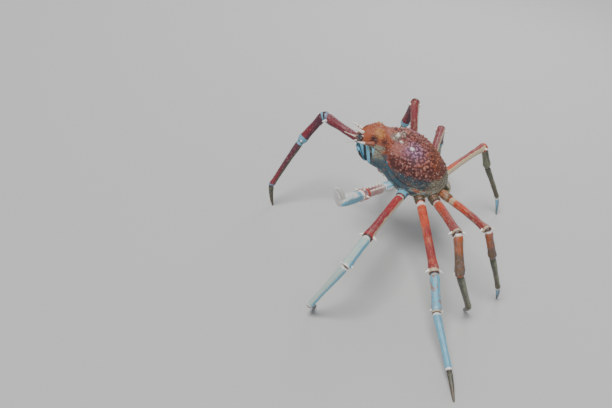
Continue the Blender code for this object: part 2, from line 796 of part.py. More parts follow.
def build():
    """Build the whole crab under one empty."""
    clear_scene()
    add_collections()
    middle = stance_middle()
    stance = bpy.data.objects.new("stance", None)
    stance.location = -middle
    NODES.objects.link(stance)
    body_frame = bpy.data.objects.new("body_frame", None)
    body_frame.parent = stance
    body_frame.location = (0, 0, BODY_HEIGHT)
    body_frame.rotation_euler = (-NOSE_UP, 0, 0)
    NODES.objects.link(body_frame)
    underbody = add_body(body_frame)
    for side_name in ("left", "right"):
        bases = [add_claw(side_name, stance)]
        for pair in PAIR_SCALE:
            bases.append(add_leg(side_name, pair, stance))
        combine(underbody, [grown_copy(base) for base in bases], "DIFFERENCE")


build()
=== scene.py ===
"""Looks of a Japanese spider crab, built round its packed CAD frame, in metres.

The crab faces -Y and its left side is +X. The sizes and the stance repeat those of the CAD
part, so that every fine piece lies where its CAD node does. The shapes are grids of points
worked out with numpy, and the finishes are made of shader nodes.
"""
import itertools
import math
import random

import bpy
import numpy as np
from bpy.props import FloatProperty, FloatVectorProperty, PointerProperty
from mathutils import Matrix


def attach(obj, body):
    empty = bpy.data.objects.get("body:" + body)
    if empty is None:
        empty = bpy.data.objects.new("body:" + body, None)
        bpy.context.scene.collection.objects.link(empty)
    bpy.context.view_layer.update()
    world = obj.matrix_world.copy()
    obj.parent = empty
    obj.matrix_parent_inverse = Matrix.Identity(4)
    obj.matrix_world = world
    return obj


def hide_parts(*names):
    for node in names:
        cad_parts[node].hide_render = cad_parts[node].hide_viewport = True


bl_info = {
    "name": "Spider crab looks",
    "version": (1, 0, 0),
    "blender": (4, 5, 0),
    "location": "View3D > Sidebar > Crab",
    "description": "Dresses the CAD frame of a standing spider crab as a museum model",
    "category": "Object",
}

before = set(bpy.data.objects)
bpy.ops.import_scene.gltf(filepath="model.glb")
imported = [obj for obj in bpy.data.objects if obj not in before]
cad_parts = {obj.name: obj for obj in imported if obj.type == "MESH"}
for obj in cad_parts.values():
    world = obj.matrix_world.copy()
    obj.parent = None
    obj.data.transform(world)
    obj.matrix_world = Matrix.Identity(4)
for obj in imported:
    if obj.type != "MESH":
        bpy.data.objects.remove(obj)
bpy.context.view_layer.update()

# Sizes of the CAD part
SHELL_LENGTH = 0.250
BODY_HEIGHT = 0.252
GAP = 0.0003
NOSE_UP = math.radians(4.2)
MERUS_LENGTH = 0.225
CARPUS_LENGTH = 0.099
PROPODUS_LENGTH = 0.144
DACTYL_LENGTH = 0.0675
MERUS_RADIUS = 0.0115
CARPUS_RADIUS = 0.0112
PROPODUS_RADIUS = 0.0085
DACTYL_RADIUS = 0.0060
PAIR_SCALE = {1: 1.01, 2: 1.00, 3: 0.97, 4: 0.84}
CLAW_MERUS_LENGTH = 0.142
CLAW_CARPUS_LENGTH = 0.031
PALM_LENGTH = 0.094
FINGER_LENGTH = 0.058
CLAW_MERUS_RADIUS = 0.0120
CLAW_CARPUS_RADIUS = 0.0130
PALM_RADIUS = 0.0135
FINGER_RADIUS = 0.0075
FINGER_OFFSET = 0.0085

# Hip joints of the left side in the body's frame, and the way each limb's base points
HIP = {
    "claw": (0.0425, -0.0300, -0.0400),
    1: (0.0550, 0.0000, -0.0425),
    2: (0.0625, 0.0325, -0.0412),
    3: (0.0588, 0.0650, -0.0375),
    4: (0.0475, 0.0925, -0.0325),
}
HIP_HEADING = {"claw": -60, 1: -25, 2: 10, 3: 28, 4: 55}
HIP_FALL = 0.25
RIGHT_CLAW_HIP_HEADING = -10
RIGHT_CLAW_HIP_FALL = 0.80
HIP_LENGTH = 0.0325
HIP_ROOT = 0.011
HIP_RADIUS = {"claw": 0.0120, 1: 0.0135, 2: 0.0135, 3: 0.0130, 4: 0.0115}

# Heading and rise of each segment in degrees. The propodus slopes so that the foot meets the floor.
LEG_POSE = {
    ("left", 1): {"merus": (-26, -1), "carpus": (-31, -17), "propodus": -108, "dactyl": (158, -34)},
    ("left", 2): {"merus": (6, -17), "carpus": (2, -28), "propodus": 11, "dactyl": (7, -26)},
    ("left", 3): {"merus": (3, 12), "carpus": (26, -63), "propodus": 129, "dactyl": (173, -40)},
    ("left", 4): {"merus": (18, 9), "carpus": (103, -67), "propodus": 123, "dactyl": (150, -60)},
    ("right", 1): {"merus": (-68, 20), "carpus": (-92, -60), "propodus": -118, "dactyl": (60, -77)},
    ("right", 2): {"merus": (3, 25), "carpus": (-14, -69), "propodus": 9, "dactyl": (5, -76)},
    ("right", 3): {"merus": (16, 6), "carpus": (18, -52), "propodus": 18, "dactyl": (18, -59)},
    ("right", 4): {"merus": (43, 9), "carpus": (54, -62), "propodus": 74, "dactyl": (100, -78)},
}
CLAW_POSE = {
    "left": {"merus": (-28, 18), "carpus": (-29, 17), "palm": (-35, 14), "finger": (-45, 50)},
    "right": {"merus": (6, -27), "carpus": (25, -29), "palm": (28, -28), "finger": (20, -20)},
}

# Stations of the body as parts of the shell's length: y, half width, rim, top
SHELL_STATIONS = (
    (-0.579, 0.050, 0.175, 0.258),
    (-0.500, 0.105, 0.190, 0.334),
    (-0.379, 0.155, 0.175, 0.362),
    (-0.300, 0.170, 0.120, 0.356),
    (-0.230, 0.195, 0.050, 0.364),
    (-0.160, 0.245, -0.015, 0.366),
    (-0.080, 0.300, -0.045, 0.350),
    (0.020, 0.338, -0.057, 0.318),
    (0.120, 0.357, -0.060, 0.279),
    (0.270, 0.310, -0.060, 0.176),
    (0.360, 0.220, -0.060, 0.100),
    (0.421, 0.100, -0.058, 0.015),
)
SHELL_DOME_POWER = 0.75
SHELL_LOBES = (
    (0.000, -0.400, 0.080, 0.010),
    (0.105, -0.410, 0.050, 0.030),
    (0.000, -0.270, 0.050, -0.014),
    (0.140, -0.235, 0.050, -0.026),
    (0.000, -0.090, 0.090, 0.016),
    (0.200, 0.000, 0.110, 0.018),
    (0.100, -0.010, 0.045, -0.014),
    (0.000, 0.080, 0.045, -0.012),
    (0.000, 0.190, 0.070, 0.016),
    (0.190, 0.170, 0.090, 0.014),
)
KEEL_STATIONS = (
    (-0.562, 0.150),
    (-0.530, 0.115),
    (-0.508, 0.070),
    (-0.470, 0.020),
    (-0.415, -0.030),
    (-0.350, -0.055),
    (-0.280, -0.075),
    (-0.220, -0.120),
    (-0.150, -0.175),
    (-0.050, -0.215),
    (0.100, -0.232),
    (0.300, -0.205),
    (0.380, -0.170),
    (0.412, -0.110),
)
ABDOMEN_STATIONS = (
    (0.375, -0.090, 0.070),
    (0.440, -0.105, 0.082),
    (0.487, -0.150, 0.088),
    (0.465, -0.205, 0.085),
    (0.380, -0.238, 0.080),
    (0.220, -0.256, 0.065),
    (0.070, -0.262, 0.036),
)
ABDOMEN_THICKNESS = 0.034

# Rows of spines on the shell: the row's lean on the left side and its radius in metres, and for
# each spine its place along the shell and out from the midline, as parts of the shell's length
# and half width, and its length in metres
SIDE_SPINES = (
    ((0.6, -0.35, 0.10), 0.0036, (
        (-0.31, 0.93, 0.008), (-0.21, 0.93, 0.010), (-0.10, 0.93, 0.010), (0.0, 0.93, 0.010),
        (0.10, 0.93, 0.009), (0.20, 0.93, 0.009), (0.29, 0.93, 0.008),
    )),
    ((0.0, -0.3, 0.2), 0.0042, ((-0.36, 0.55, 0.006), (-0.05, 0.52, 0.008), (0.12, 0.58, 0.007))),
)
MIDLINE_SPINES = ((0.0, -0.2, 0.2), 0.0050, (
    (-0.42, 0.0, 0.006), (-0.13, 0.0, 0.008), (0.05, 0.0, 0.007), (0.22, 0.0, 0.007),
))
SPINE_BLUNTNESS = 0.14

# Horns and spines of the head on the left side, in metres in the body's frame: root, tip, radius,
# bluntness, bend, rows and columns of the grid, the part of its length where it turns white, and
# the place on the shell whose colour its foot takes, where that isn't its own
HEAD_SPINES = (
    ((0.0078, -0.1270, 0.0665), (0.0165, -0.1695, 0.0792), 0.0058, 0.12, (0.05, 0.0, 0.04),
     24, 20, 0.1, None),
    ((0.0115, -0.1450, 0.0715), (0.0130, -0.1500, 0.0880), 0.0031, 0.14, (0.0, -0.04, 0.0),
     14, 14, 0.1, None),
    ((0.0310, -0.1060, 0.0560), (0.0400, -0.1500, 0.0560), 0.0060, 0.12, (0.05, 0.0, -0.02),
     24, 18, 0.45, (0.17, -0.27, 0.26)),
    ((0.0100, -0.1290, 0.0640), (0.0135, -0.1350, 0.0760), 0.0026, 0.16, (0.05, 0.0, 0.03),
     12, 12, 0.1, None),
    ((0.0140, -0.1300, 0.0610), (0.0235, -0.1400, 0.0665), 0.0026, 0.16, (0.05, 0.0, 0.03),
     12, 12, 0.1, None),
    ((0.0060, -0.1360, 0.0560), (0.0085, -0.1520, 0.0590), 0.0026, 0.16, (0.05, 0.0, 0.03),
     12, 12, 0.1, None),
    ((0.0200, -0.1290, 0.0480), (0.0290, -0.1400, 0.0500), 0.0026, 0.16, (0.05, 0.0, 0.03),
     12, 12, 0.1, None),
)

# The CAD part's seeded tubercles: how many at most, tries, space between them and their radii
TUBERCLE_SEED = 41
TUBERCLE_COUNT = 140
TUBERCLE_TRIES = 6000
TUBERCLE_SPACE = 0.0088
TUBERCLE_RADII = (0.0021, 0.0042)

# Eye, its stalk's root from its middle, feeler and mouth parts on the left side, in metres
EYE_MIDDLE = (0.0166, -0.1380, 0.0555)
EYE_RADII = (0.0058, 0.0054, 0.0052)
STALK_ROOT = (-0.0080, 0.0060, -0.0010)
STALK_RADIUS = 0.0042
FEELER_ROOT = (0.0062, -0.1385, 0.0460)
FEELER_RADIUS = 0.0036
FEELER_TIP_RADIUS = 0.0009
FEELER_JOINTS = (0.17, 0.30, 0.42)

# Mouth plates: offset sideways, half width and half thickness, first and last part of the line.
# Palps: offset sideways and length.
MOUTH_PLATES = ((0.0, 0.0080, 0.0052, 0.0, 1.0), (0.0096, 0.0026, 0.0042, 0.06, 0.90))
PALPS = ((0.002, 0.010), (0.0055, 0.012), (0.0095, 0.011))
PALP_RADIUS = 0.0021
PALP_GRID = (14, 12)

# Knobs and granules: pitch in metres, least and largest radius in pitches, salt of their places
LARGE_KNOBS = (0.0070, 0.44, 0.66, 3)
SMALL_KNOBS = (0.0042, 0.28, 0.52, 11)
WALL_GRAINS = (0.0046, 0.26, 0.50, 21)
TAIL_GRAINS = (0.0040, 0.26, 0.48, 27)
LIMB_GRAINS = (0.0036, 0.26, 0.46)

# Swells of the surfaces in metres: pitch, height
SHELL_SWELL_PITCH = 0.026
SHELL_SWELL_HEIGHT = 0.0034
LIMB_SWELL_PITCH = 0.018
LIMB_SWELL_HEIGHT = 0.0010

# The body under the shell: its half width as a part of the shell's, its distance below the rim,
# half outline of a ring (part of its length, of the half width, of the depth), grooves between
# the legs as parts of the shell's length, and depths and heights of its relief in metres
UNDERBODY_PART = 0.955
UNDERSIDE_DROP = GAP * 1.3
UNDERBODY_OUTLINE = (
    (0.0, 1.0, 0.0), (0.17, 1.0, 0.28), (0.35, 0.95, 0.55), (0.52, 0.82, 0.78),
    (0.68, 0.62, 0.94), (0.85, 0.34, 1.0), (1.0, 0.0, 1.01),
)
LEG_GROOVES = (-0.06, 0.065, 0.195, 0.31)
GROOVE_WIDTH = 0.010
GROOVE_DEPTH = 0.0012
MIDLINE_DEPTH = 0.0010
FOLD_DEPTH = 0.0011
STRIPE_HEIGHT = 0.0016
COLLAR_HEIGHT = 0.0014
TAIL_GRAIN_HEIGHT = 0.0004
TAIL_RIDGE = 0.0009

# Collar round a limb's root: first and last distance along the limb in metres, and radius, width
# and the edges of the skin within it in parts of the root's radius
COLLAR_SPAN = (-0.010, 0.040)
COLLAR_RADIUS = 1.18
COLLAR_WIDTH = 0.13
COLLAR_SKIN = (1.14, 1.02)

# Points that close the flat side of a ring
SHELL_LID = 12
UNDERBODY_LID = 10

# Half profiles of the limb segments: part of the length, part of the radius
BASE_PROFILE = ((0.0, 0.62), (0.25, 0.84), (0.50, 1.04), (0.74, 1.0), (0.90, 0.98), (1.0, 0.76))
MERUS_PROFILE = (
    (0.0, 0.72), (0.035, 0.94), (0.12, 1.0), (0.45, 0.92),
    (0.80, 0.95), (0.93, 1.14), (0.975, 1.12), (1.0, 0.80)
)
CARPUS_PROFILE = ((0.0, 0.82), (0.10, 1.06), (0.30, 0.98), (0.70, 1.02), (0.90, 1.14), (1.0, 0.76))
PROPODUS_PROFILE = ((0.0, 0.98), (0.10, 1.10), (0.45, 0.92), (0.88, 0.86), (0.955, 0.94), (1.0, 0.70))
DACTYL_PROFILE = ((0.0, 0.98), (0.10, 1.06), (0.40, 0.88), (0.72, 0.62), (0.92, 0.40), (1.0, 0.30))
PALM_PROFILE = ((0.0, 0.62), (0.10, 0.86), (0.35, 1.0), (0.65, 1.04), (0.90, 0.98), (1.0, 0.80))

# Width of one stripe and its gap beside the mouth, and where they start, as parts of the
# shell's length
MOUTH_STRIPE = 0.060
MOUTH_STRIPE_START = 0.548

# Round zones and small marks of colour on the shell: middle, inner and outer radius as parts of
# its length, strength, colour
SHELL_ZONES = (
    ((0.110, -0.395, 0.345), 0.020, 0.080, 0.85, "lobe"),
    # The three dark zones below the head's lobe are painted shade
    ((0.130, -0.434, 0.263), 0.015, 0.070, 0.92, "dark"),
    ((0.150, -0.325, 0.270), 0.010, 0.060, 0.75, "dark"),
    ((0.160, -0.290, 0.200), 0.010, 0.050, 0.55, "dark"),
    ((0.095, -0.235, 0.335), 0.018, 0.060, 0.85, "pale"),
    ((0.050, -0.290, 0.335), 0.020, 0.080, 0.50, "blotch"),
    ((0.170, -0.110, 0.300), 0.004, 0.040, 0.50, "lobe"),
    ((0.190, -0.200, 0.220), 0.030, 0.090, 0.65, "blotch"),
    # The mauve zone is partly the shell's tone, partly a painted highlight of blue light
    ((0.215, -0.030, 0.265), 0.020, 0.160, 0.60, "mauve"),
    ((0.060, -0.150, 0.360), 0.010, 0.070, 0.55, "pale"),
)
SHELL_MARKS = (
    ((0.075, -0.205, 0.350), 0.008, 0.030, 0.80, "horn"),
    ((0.144, -0.164, 0.308), 0.008, 0.026, 0.90, "horn"),
    ((0.200, -0.057, 0.284), 0.008, 0.028, 0.95, "horn"),
    ((0.165, -0.342, 0.165), 0.008, 0.026, 0.90, "stain"),
    ((0.172, -0.285, 0.130), 0.015, 0.045, 0.75, "wall"),
    ((0.185, -0.252, 0.072), 0.008, 0.022, 0.90, "mouth"),
    ((0.045, -0.560, 0.225), 0.020, 0.060, 0.80, "wall"),
)

# Colours of the eyes: within a facet, between facets, and of the stalk
FACET_COLOUR = (0.022, 0.014, 0.012)
FACET_EDGE_COLOUR = (0.008, 0.005, 0.006)
STALK_COLOUR = (0.36, 0.16, 0.11)

# Where the ring at a limb segment's far end starts, as a part of its length, and the look whose
# ring is wider
RING_START = 0.938
WIDE_RINGS = {"dark_carpus": 0.80}

# How far a segment's end may slide past its joint, as a part of its radius
SLIDE_LIMIT = 0.45

# Limbs take their under colour on the side that faces this way, down and to the rear: a real
# pale underside on some limbs, and painted shade on those whose under colour is darker than
# the top. Streaks on them count this part of their length
UNDER_AND_SHADED_SIDE = np.array([0.0, 0.75, -0.66])
STREAK = 0.12

UP = np.array([0.0, 0.0, 1.0])


def unit(vectors):
    """Vectors divided by their lengths, along the last axis."""
    return vectors / np.maximum(np.linalg.norm(vectors, axis=-1, keepdims=True), 1e-12)


def smooth_curve(table, place, column=1):
    """A table's column read at any place: cubic pieces that meet with equal slope."""
    table = np.array(table, float)
    place = np.clip(np.asarray(place, float), table[0, 0], table[-1, 0])
    low = np.clip(np.searchsorted(table[:, 0], place, side="left") - 1, 0, len(table) - 2)
    before, after = np.maximum(low - 1, 0), np.minimum(low + 2, len(table) - 1)
    start, value = table[:, 0], table[:, column]
    span = start[low + 1] - start[low]
    t = (place - start[low]) / span
    slope_low = (value[low + 1] - value[before]) / (start[low + 1] - start[before]) * span
    slope_high = (value[after] - value[low]) / (start[after] - start[low]) * span
    return (
        (2 * t**3 - 3 * t**2 + 1) * value[low]
        + (t**3 - 2 * t**2 + t) * slope_low
        + (3 * t**2 - 2 * t**3) * value[low + 1]
        + (t**3 - t**2) * slope_high
    )


def step_between(low, high, value):
    """0 below low, 1 above high, and a smooth S between them."""
    t = np.clip((np.asarray(value, float) - low) / (high - low), 0, 1)
    return t * t * (3 - 2 * t)


def hashed(cells, salt):
    """A number from 0 to 1 for each whole cell.

    Its coordinates times three large primes are added up, and the sum is mixed by shifts and
    products that keep 32 bits.
    """
    word = np.uint64(0xFFFFFFFF)
    x, y, z = (cells[..., axis].astype(np.int64).astype(np.uint64) for axis in range(3))
    mixed = x * np.uint64(374761393) + y * np.uint64(668265263) + z * np.uint64(2246822519)
    mixed = (mixed + np.uint64(salt * 974711)) & word
    for _ in range(2):
        mixed = ((mixed ^ (mixed >> np.uint64(13))) * np.uint64(1274126177)) & word
    mixed = mixed ^ (mixed >> np.uint64(16))
    return (mixed & np.uint64(0xFFFF)).astype(float) / 0xFFFF


def knobs(points, pitch, low, high, salt):
    """Rounded knobs: a half ball over each of the scattered points, one to a cell of the pitch.

    A ball's radius is between low and high pitches, and the highest ball wins at each place.
    """
    cell = np.floor(points / pitch).astype(np.int64)
    best = np.zeros(points.shape[:-1])
    for offset in itertools.product((-1, 0, 1), repeat=3):
        near = cell + np.array(offset)
        inside = np.stack([hashed(near, salt + axis) for axis in range(3)], -1)
        radius = pitch * (low + (high - low) * hashed(near, salt + 5) ** 2)
        away = np.linalg.norm(points - (near + inside) * pitch, axis=-1) / radius
        ball = np.clip(1 - away**2, 0, 1) ** 0.5
        best = np.maximum(best, ball * radius / (pitch * high))
    return best


def value_noise(points, pitch, salt):
    """Smooth noise from 0 to 1: random values at the corners of cells, eased between them."""
    cell = np.floor(points / pitch).astype(np.int64)
    t = points / pitch - cell
    t = t * t * (3 - 2 * t)
    total = np.zeros(points.shape[:-1])
    for offset in itertools.product((0, 1), repeat=3):
        weight = np.prod([t[..., i] if offset[i] else 1 - t[..., i] for i in range(3)], axis=0)
        total += weight * hashed(cell + np.array(offset), salt)
    return total


def hump(value, middle, width):
    """A bell curve of a value's distance from a middle."""
    return np.exp(-(((value - middle) / width) ** 2))


def ring_turns(columns):
    """Angles of a ring's points."""
    return np.linspace(0, 2 * np.pi, columns, endpoint=False)


def grid_normals(points):
    """Outward directions of a grid of closed rings: the cross product of its two slopes."""
    along = np.gradient(points, axis=0)
    around = (np.roll(points, -1, axis=1) - np.roll(points, 1, axis=1)) / 2
    normals = unit(np.cross(around, along))
    middle = points.mean(1, keepdims=True)
    if ((points - middle) * normals).sum() < 0:
        normals = -normals
    return normals


def rounded_ends(rings, first, last, steps=5):
    """Rings continued past both ends on a quarter of an ellipse, down to nearly a point."""
    turns = np.linspace(0, np.pi / 2, steps + 2)[1:-1]

    def close(ring, neighbour, bulge):
        middle = ring.mean(0)
        out = unit(middle - neighbour.mean(0))
        return np.stack(
            [middle + (ring - middle) * math.cos(a) + out * bulge * math.sin(a) for a in turns]
        )

    head = close(rings[0], rings[1], first)[::-1]
    tail = close(rings[-1], rings[-2], last)
    return np.concatenate([head, rings, tail])


class Piece:
    """A mesh put together from closed grids, with a number for each mask at each point."""

    MASKS = ("along", "pale", "knob", "grain", "spur", "skin")

    def __init__(self, name):
        self.name = name
        self.points, self.corners, self.sizes, self.places = [], [], [], []
        self.masks = {mask: [] for mask in self.MASKS}
        self.count = 0

    def add(self, grid, place=None, **masks):
        """Add a grid of closed rings, with a middle point at each end to close it.

        Faces turn outwards: they are reversed where the volume, summed from the box products
        of their corners, is negative.
        """
        rows, columns = grid.shape[:2]
        index = np.arange(rows * columns).reshape(rows, columns)
        onward = np.roll(index, -1, axis=1)
        quads = np.stack([index[:-1], onward[:-1], onward[1:], index[1:]], -1).reshape(-1, 4)
        first, last = rows * columns, rows * columns + 1
        start = np.stack([onward[0], index[0], np.full(columns, first)], -1)
        end = np.stack([index[-1], onward[-1], np.full(columns, last)], -1)
        points = np.concatenate([grid.reshape(-1, 3), [grid[0].mean(0)], [grid[-1].mean(0)]])
        halves = np.concatenate([quads[:, :3], quads[:, [0, 2, 3]], start, end])
        a, b, c = (points[halves[:, i]] - points.mean(0) for i in range(3))
        if (a * np.cross(b, c)).sum() < 0:
            quads, start, end = quads[:, ::-1], start[:, ::-1], end[:, ::-1]
        ends = np.concatenate([start, end])
        self.corners += [(quads + self.count).ravel(), (ends + self.count).ravel()]
        self.sizes += [np.full(len(quads), 4), np.full(len(ends), 3)]
        self.points.append(points)
        for mask in self.MASKS:
            value = np.broadcast_to(np.asarray(masks.get(mask, 0.0), float), (rows, columns))
            value = np.concatenate([value.ravel(), [value[0].mean(), value[-1].mean()]])
            self.masks[mask].append(value)
        place = grid * 0.0 if place is None else place
        ends = [place[0].mean(0), place[-1].mean(0)]
        self.places.append(np.concatenate([place.reshape(-1, 3), ends]))
        self.count += len(points)

    def thorn(
        self, root, tip, radius, blunt=SPINE_BLUNTNESS, bend=(0, 0, 0), rows=9, columns=12, **masks
    ):
        """Add a thorn: circles from root to tip on a line bent by half a sine wave.

        Their radius falls from the foot's by a power of the distance, but not below a blunt
        part of it, and closes at the round end.
        """
        root, tip = np.asarray(root, float), np.asarray(tip, float)
        t = np.linspace(0, 1, rows)[:, None]
        axis = unit(tip - root)
        side = unit(np.cross(axis, (0.31, 0.53, 0.79)))
        other = np.cross(axis, side)
        width = radius * ((1 - t) ** 0.85 * (1 - blunt) + blunt)
        width = width * np.sqrt(np.clip(1 - t**9, 0.02, 1))
        turn = ring_turns(columns)
        circle = np.cos(turn)[:, None] * side + np.sin(turn)[:, None] * other
        sway = np.asarray(bend) * np.sin(np.pi * t) * np.linalg.norm(tip - root)
        middle = root + (tip - root) * t + sway
        grid = middle[:, None, :] + width[..., None] * circle[None]
        masks.setdefault("spur", np.broadcast_to(t**0.5, (rows, columns)))
        self.add(grid, **masks)

    def finish(self, material, nodes, slot):
        """Make the mesh and its object, which rides on the crab's one body and stands for the
        CAD node that it is named after."""
        mesh = bpy.data.meshes.new(self.name)
        points = np.concatenate(self.points).astype(np.float32)
        corners = np.concatenate(self.corners).astype(np.int32)
        sizes = np.concatenate(self.sizes)
        starts = np.concatenate([[0], np.cumsum(sizes)[:-1]]).astype(np.int32)
        mesh.vertices.add(len(points))
        mesh.vertices.foreach_set("co", points.ravel())
        mesh.loops.add(len(corners))
        mesh.loops.foreach_set("vertex_index", corners)
        mesh.polygons.add(len(sizes))
        mesh.polygons.foreach_set("loop_start", starts)
        mesh.update(calc_edges=True)
        mesh.shade_smooth()
        for mask, values in self.masks.items():
            values = np.concatenate(values).astype(np.float32)
            if values.any():
                mesh.attributes.new(mask, "FLOAT", "POINT").data.foreach_set("value", values)
        places = np.concatenate(self.places).astype(np.float32)
        if places.any():
            held = mesh.attributes.new("place", "FLOAT_VECTOR", "POINT")
            held.data.foreach_set("vector", places.ravel())
        mesh.materials.append(material)
        thing = bpy.data.objects.new(self.name, mesh)
        bpy.context.scene.collection.objects.link(thing)
        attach(thing, "root")
        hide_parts(*nodes)


def body_place(points):
    """Points of the body's frame in the part's frame: nose up, raised and centred."""
    c, s = math.cos(NOSE_UP), math.sin(NOSE_UP)
    points = np.asarray(points, float)
    x, y, z = points[..., 0], points[..., 1], points[..., 2]
    lifted = np.stack([x, c * y + s * z, -s * y + c * z + BODY_HEIGHT], -1)
    return lifted - MIDDLE


def turned(vector):
    """A direction of the body's frame, nose up."""
    c, s = math.cos(NOSE_UP), math.sin(NOSE_UP)
    x, y, z = vector
    return np.array([x, c * y + s * z, -s * y + c * z])


def heading_vector(side, heading, rise):
    """Unit vector of a heading and a rise in degrees, mirrored on the right side."""
    turn, climb = math.radians(heading), math.radians(rise)
    out = math.cos(turn) * math.cos(climb)
    return np.array([side * out, math.sin(turn) * math.cos(climb), math.sin(climb)])


def hip_points(side, limb):
    """Sunk root and outer end of a limb's base, over the floor."""
    x, y, z = HIP[limb]
    hip = turned((side * x, y, z)) + np.array([0, 0, BODY_HEIGHT])
    heading, fall = HIP_HEADING[limb], HIP_FALL
    if side < 0 and limb == "claw":
        heading, fall = RIGHT_CLAW_HIP_HEADING, RIGHT_CLAW_HIP_FALL
    turn = math.radians(heading)
    way = unit(turned((side * math.cos(turn), math.sin(turn), -fall)))
    return hip - way * HIP_ROOT, hip + way * HIP_LENGTH


def leg_points(side_name, pair):
    """Joint points of one walking leg, from its sunk root to its foot on the floor."""
    side = 1 if side_name == "left" else -1
    pose = LEG_POSE[(side_name, pair)]
    scale = PAIR_SCALE[pair]
    root, start = hip_points(side, pair)
    knee = start + heading_vector(side, *pose["merus"]) * MERUS_LENGTH * scale
    wrist = knee + heading_vector(side, *pose["carpus"]) * CARPUS_LENGTH * scale
    dactyl = heading_vector(side, *pose["dactyl"]) * DACTYL_LENGTH * scale
    length = PROPODUS_LENGTH * scale
    rise = -math.degrees(math.asin((wrist[2] + dactyl[2]) / length))
    ankle = wrist + heading_vector(side, pose["propodus"], rise) * length
    return np.array([root, start, knee, wrist, ankle, ankle + dactyl])


def claw_points(side_name):
    """Joint points of one claw leg, from its sunk root to the end of its palm."""
    side = 1 if side_name == "left" else -1
    points = list(hip_points(side, "claw"))
    lengths = (("merus", CLAW_MERUS_LENGTH), ("carpus", CLAW_CARPUS_LENGTH), ("palm", PALM_LENGTH))
    for segment, length in lengths:
        points.append(points[-1] + heading_vector(side, *CLAW_POSE[side_name][segment]) * length)
    return np.array(points)


def stance_middle():
    """Middle of the legs' joint points in x and y, which the part's origin lies under."""
    points = np.concatenate([leg_points(side, pair) for side, pair in LEG_POSE])
    middle = (points.min(0) + points.max(0)) / 2
    return np.array([middle[0], middle[1], 0.0])


MIDDLE = stance_middle()


class Chain:
    """A limb's joint points, with the direction, side and upper side of each segment."""

    def __init__(self, points, foot=False):
        self.points = points
        self.along = unit(np.diff(points, axis=0))
        self.side = []
        side = np.cross(self.along[0], UP)
        for along in self.along:
            side = unit(side - along * side.dot(along))
            self.side.append(side)
        self.up = [np.cross(side, along) for side, along in zip(self.side, self.along)]
        planes = [self.along[0]]
        planes += [unit(a + b) for a, b in zip(self.along, self.along[1:])]
        self.planes = planes + [-UP if foot else self.along[-1]]

    def length(self, index):
        """Length of one segment."""
        return np.linalg.norm(self.points[index + 1] - self.points[index])

    def segment(self, index, radius, profile, rows, columns, bow=0.0, end_gap=GAP / 2):
        """A segment's grid, its place along and its streak coordinates.

        Circles follow the axis, with the profile's radius. Their points slide along the axis
        to the joint's planes by the square of the distance from the other end, but not far
        past the joint, and the middle is bowed by half a sine wave.
        """
        s = np.linspace(0, 1, rows)
        t = (0.55 * s + 0.45 * (0.5 - 0.5 * np.cos(np.pi * s)))[:, None]
        turn = 2 * np.pi * (np.arange(columns) + 0.5) / columns
        along, side, up = self.along[index], self.side[index], self.up[index]
        first, last = self.planes[index], self.planes[index + 1]
        around = np.cos(turn)[:, None] * side + np.sin(turn)[:, None] * up
        out = radius * smooth_curve(profile, t)[..., None] * around[None]
        slide_first = (GAP / 2 - out @ first) / along.dot(first)
        slide_last = (-end_gap - out @ last) / along.dot(last)
        slide_first = np.maximum(slide_first, -SLIDE_LIMIT * radius)
        if end_gap:
            slide_last = np.minimum(slide_last, SLIDE_LIMIT * radius)
        length = self.length(index)
        travel = length * t + slide_first * (1 - t) ** 2 + slide_last * t**2
        bend = up * bow * length * np.sin(np.pi * t)[..., None]
        grid = self.points[index] + along * travel[..., None] + out + bend - MIDDLE
        t = np.broadcast_to(t, (rows, columns))
        circle = np.broadcast_to(np.stack([np.cos(turn), np.sin(turn)], -1), (rows, columns, 2))
        streak = np.concatenate([radius * circle, (length * t * STREAK)[..., None]], -1)
        return grid, t, streak


def shell_half_width(y):
    """Half width of the shell at y, as parts of its length."""
    return smooth_curve(SHELL_STATIONS, y, 1)


def shell_height(x, y):
    """Height of the shell's top: a dome from rim to rim, with bell-shaped lobes and grooves."""
    rim, top = smooth_curve(SHELL_STATIONS, y, 2), smooth_curve(SHELL_STATIONS, y, 3)
    across = np.minimum(np.abs(x) / shell_half_width(y), 1.0)
    dome = (1.0 - across * across) ** (SHELL_DOME_POWER / 2)
    return rim + (top - rim + lobes(x, y)) * dome


def lobes(x, y):
    """Sum of the bell curves of the lobes and grooves, on both sides of the midline."""
    relief = 0.0
    for side, place, radius, height in SHELL_LOBES:
        for mirrored in {side, -side}:
            relief = relief + height * np.exp(-((x - mirrored) ** 2 + (y - place) ** 2) / radius**2)
    return relief


def shell_point(x, y):
    """A point on the shell and its outward direction, in metres, in the body's frame."""
    step = 0.008
    slope_x = (shell_height(x + step, y) - shell_height(x - step, y)) / (2 * step)
    slope_y = (shell_height(x, y + step) - shell_height(x, y - step)) / (2 * step)
    point = np.array([x, y, float(shell_height(x, y))]) * SHELL_LENGTH
    return point, unit(np.array([-float(slope_x), -float(slope_y), 1.0]))


def body_rows(count):
    """Places along the body, closer together towards its ends."""
    part = np.linspace(0, 1, count)
    spread = 0.35 * (0.5 - 0.5 * np.cos(np.pi * part)) + 0.65 * part
    first, last = SHELL_STATIONS[0][0], SHELL_STATIONS[-1][0]
    return first + (last - first) * spread


class Wire:
    """A shader socket in Python sums: each operator adds the Math node that does it."""

    def __init__(self, finish, socket):
        self.finish, self.socket = finish, socket

    def maths(self, operation, *values):
        """A Math node of one operation on some numbers or wires."""
        return self.finish.node("ShaderNodeMath", 0, {"operation": operation}, dict(enumerate(values)))

    def __add__(self, other):
        return self.maths("ADD", self, other)

    def __sub__(self, other):
        return self.maths("SUBTRACT", self, other)

    def __rsub__(self, other):
        return self.maths("SUBTRACT", other, self)

    def __mul__(self, other):
        return self.maths("MULTIPLY", self, other)

    __radd__ = __add__
    __rmul__ = __mul__


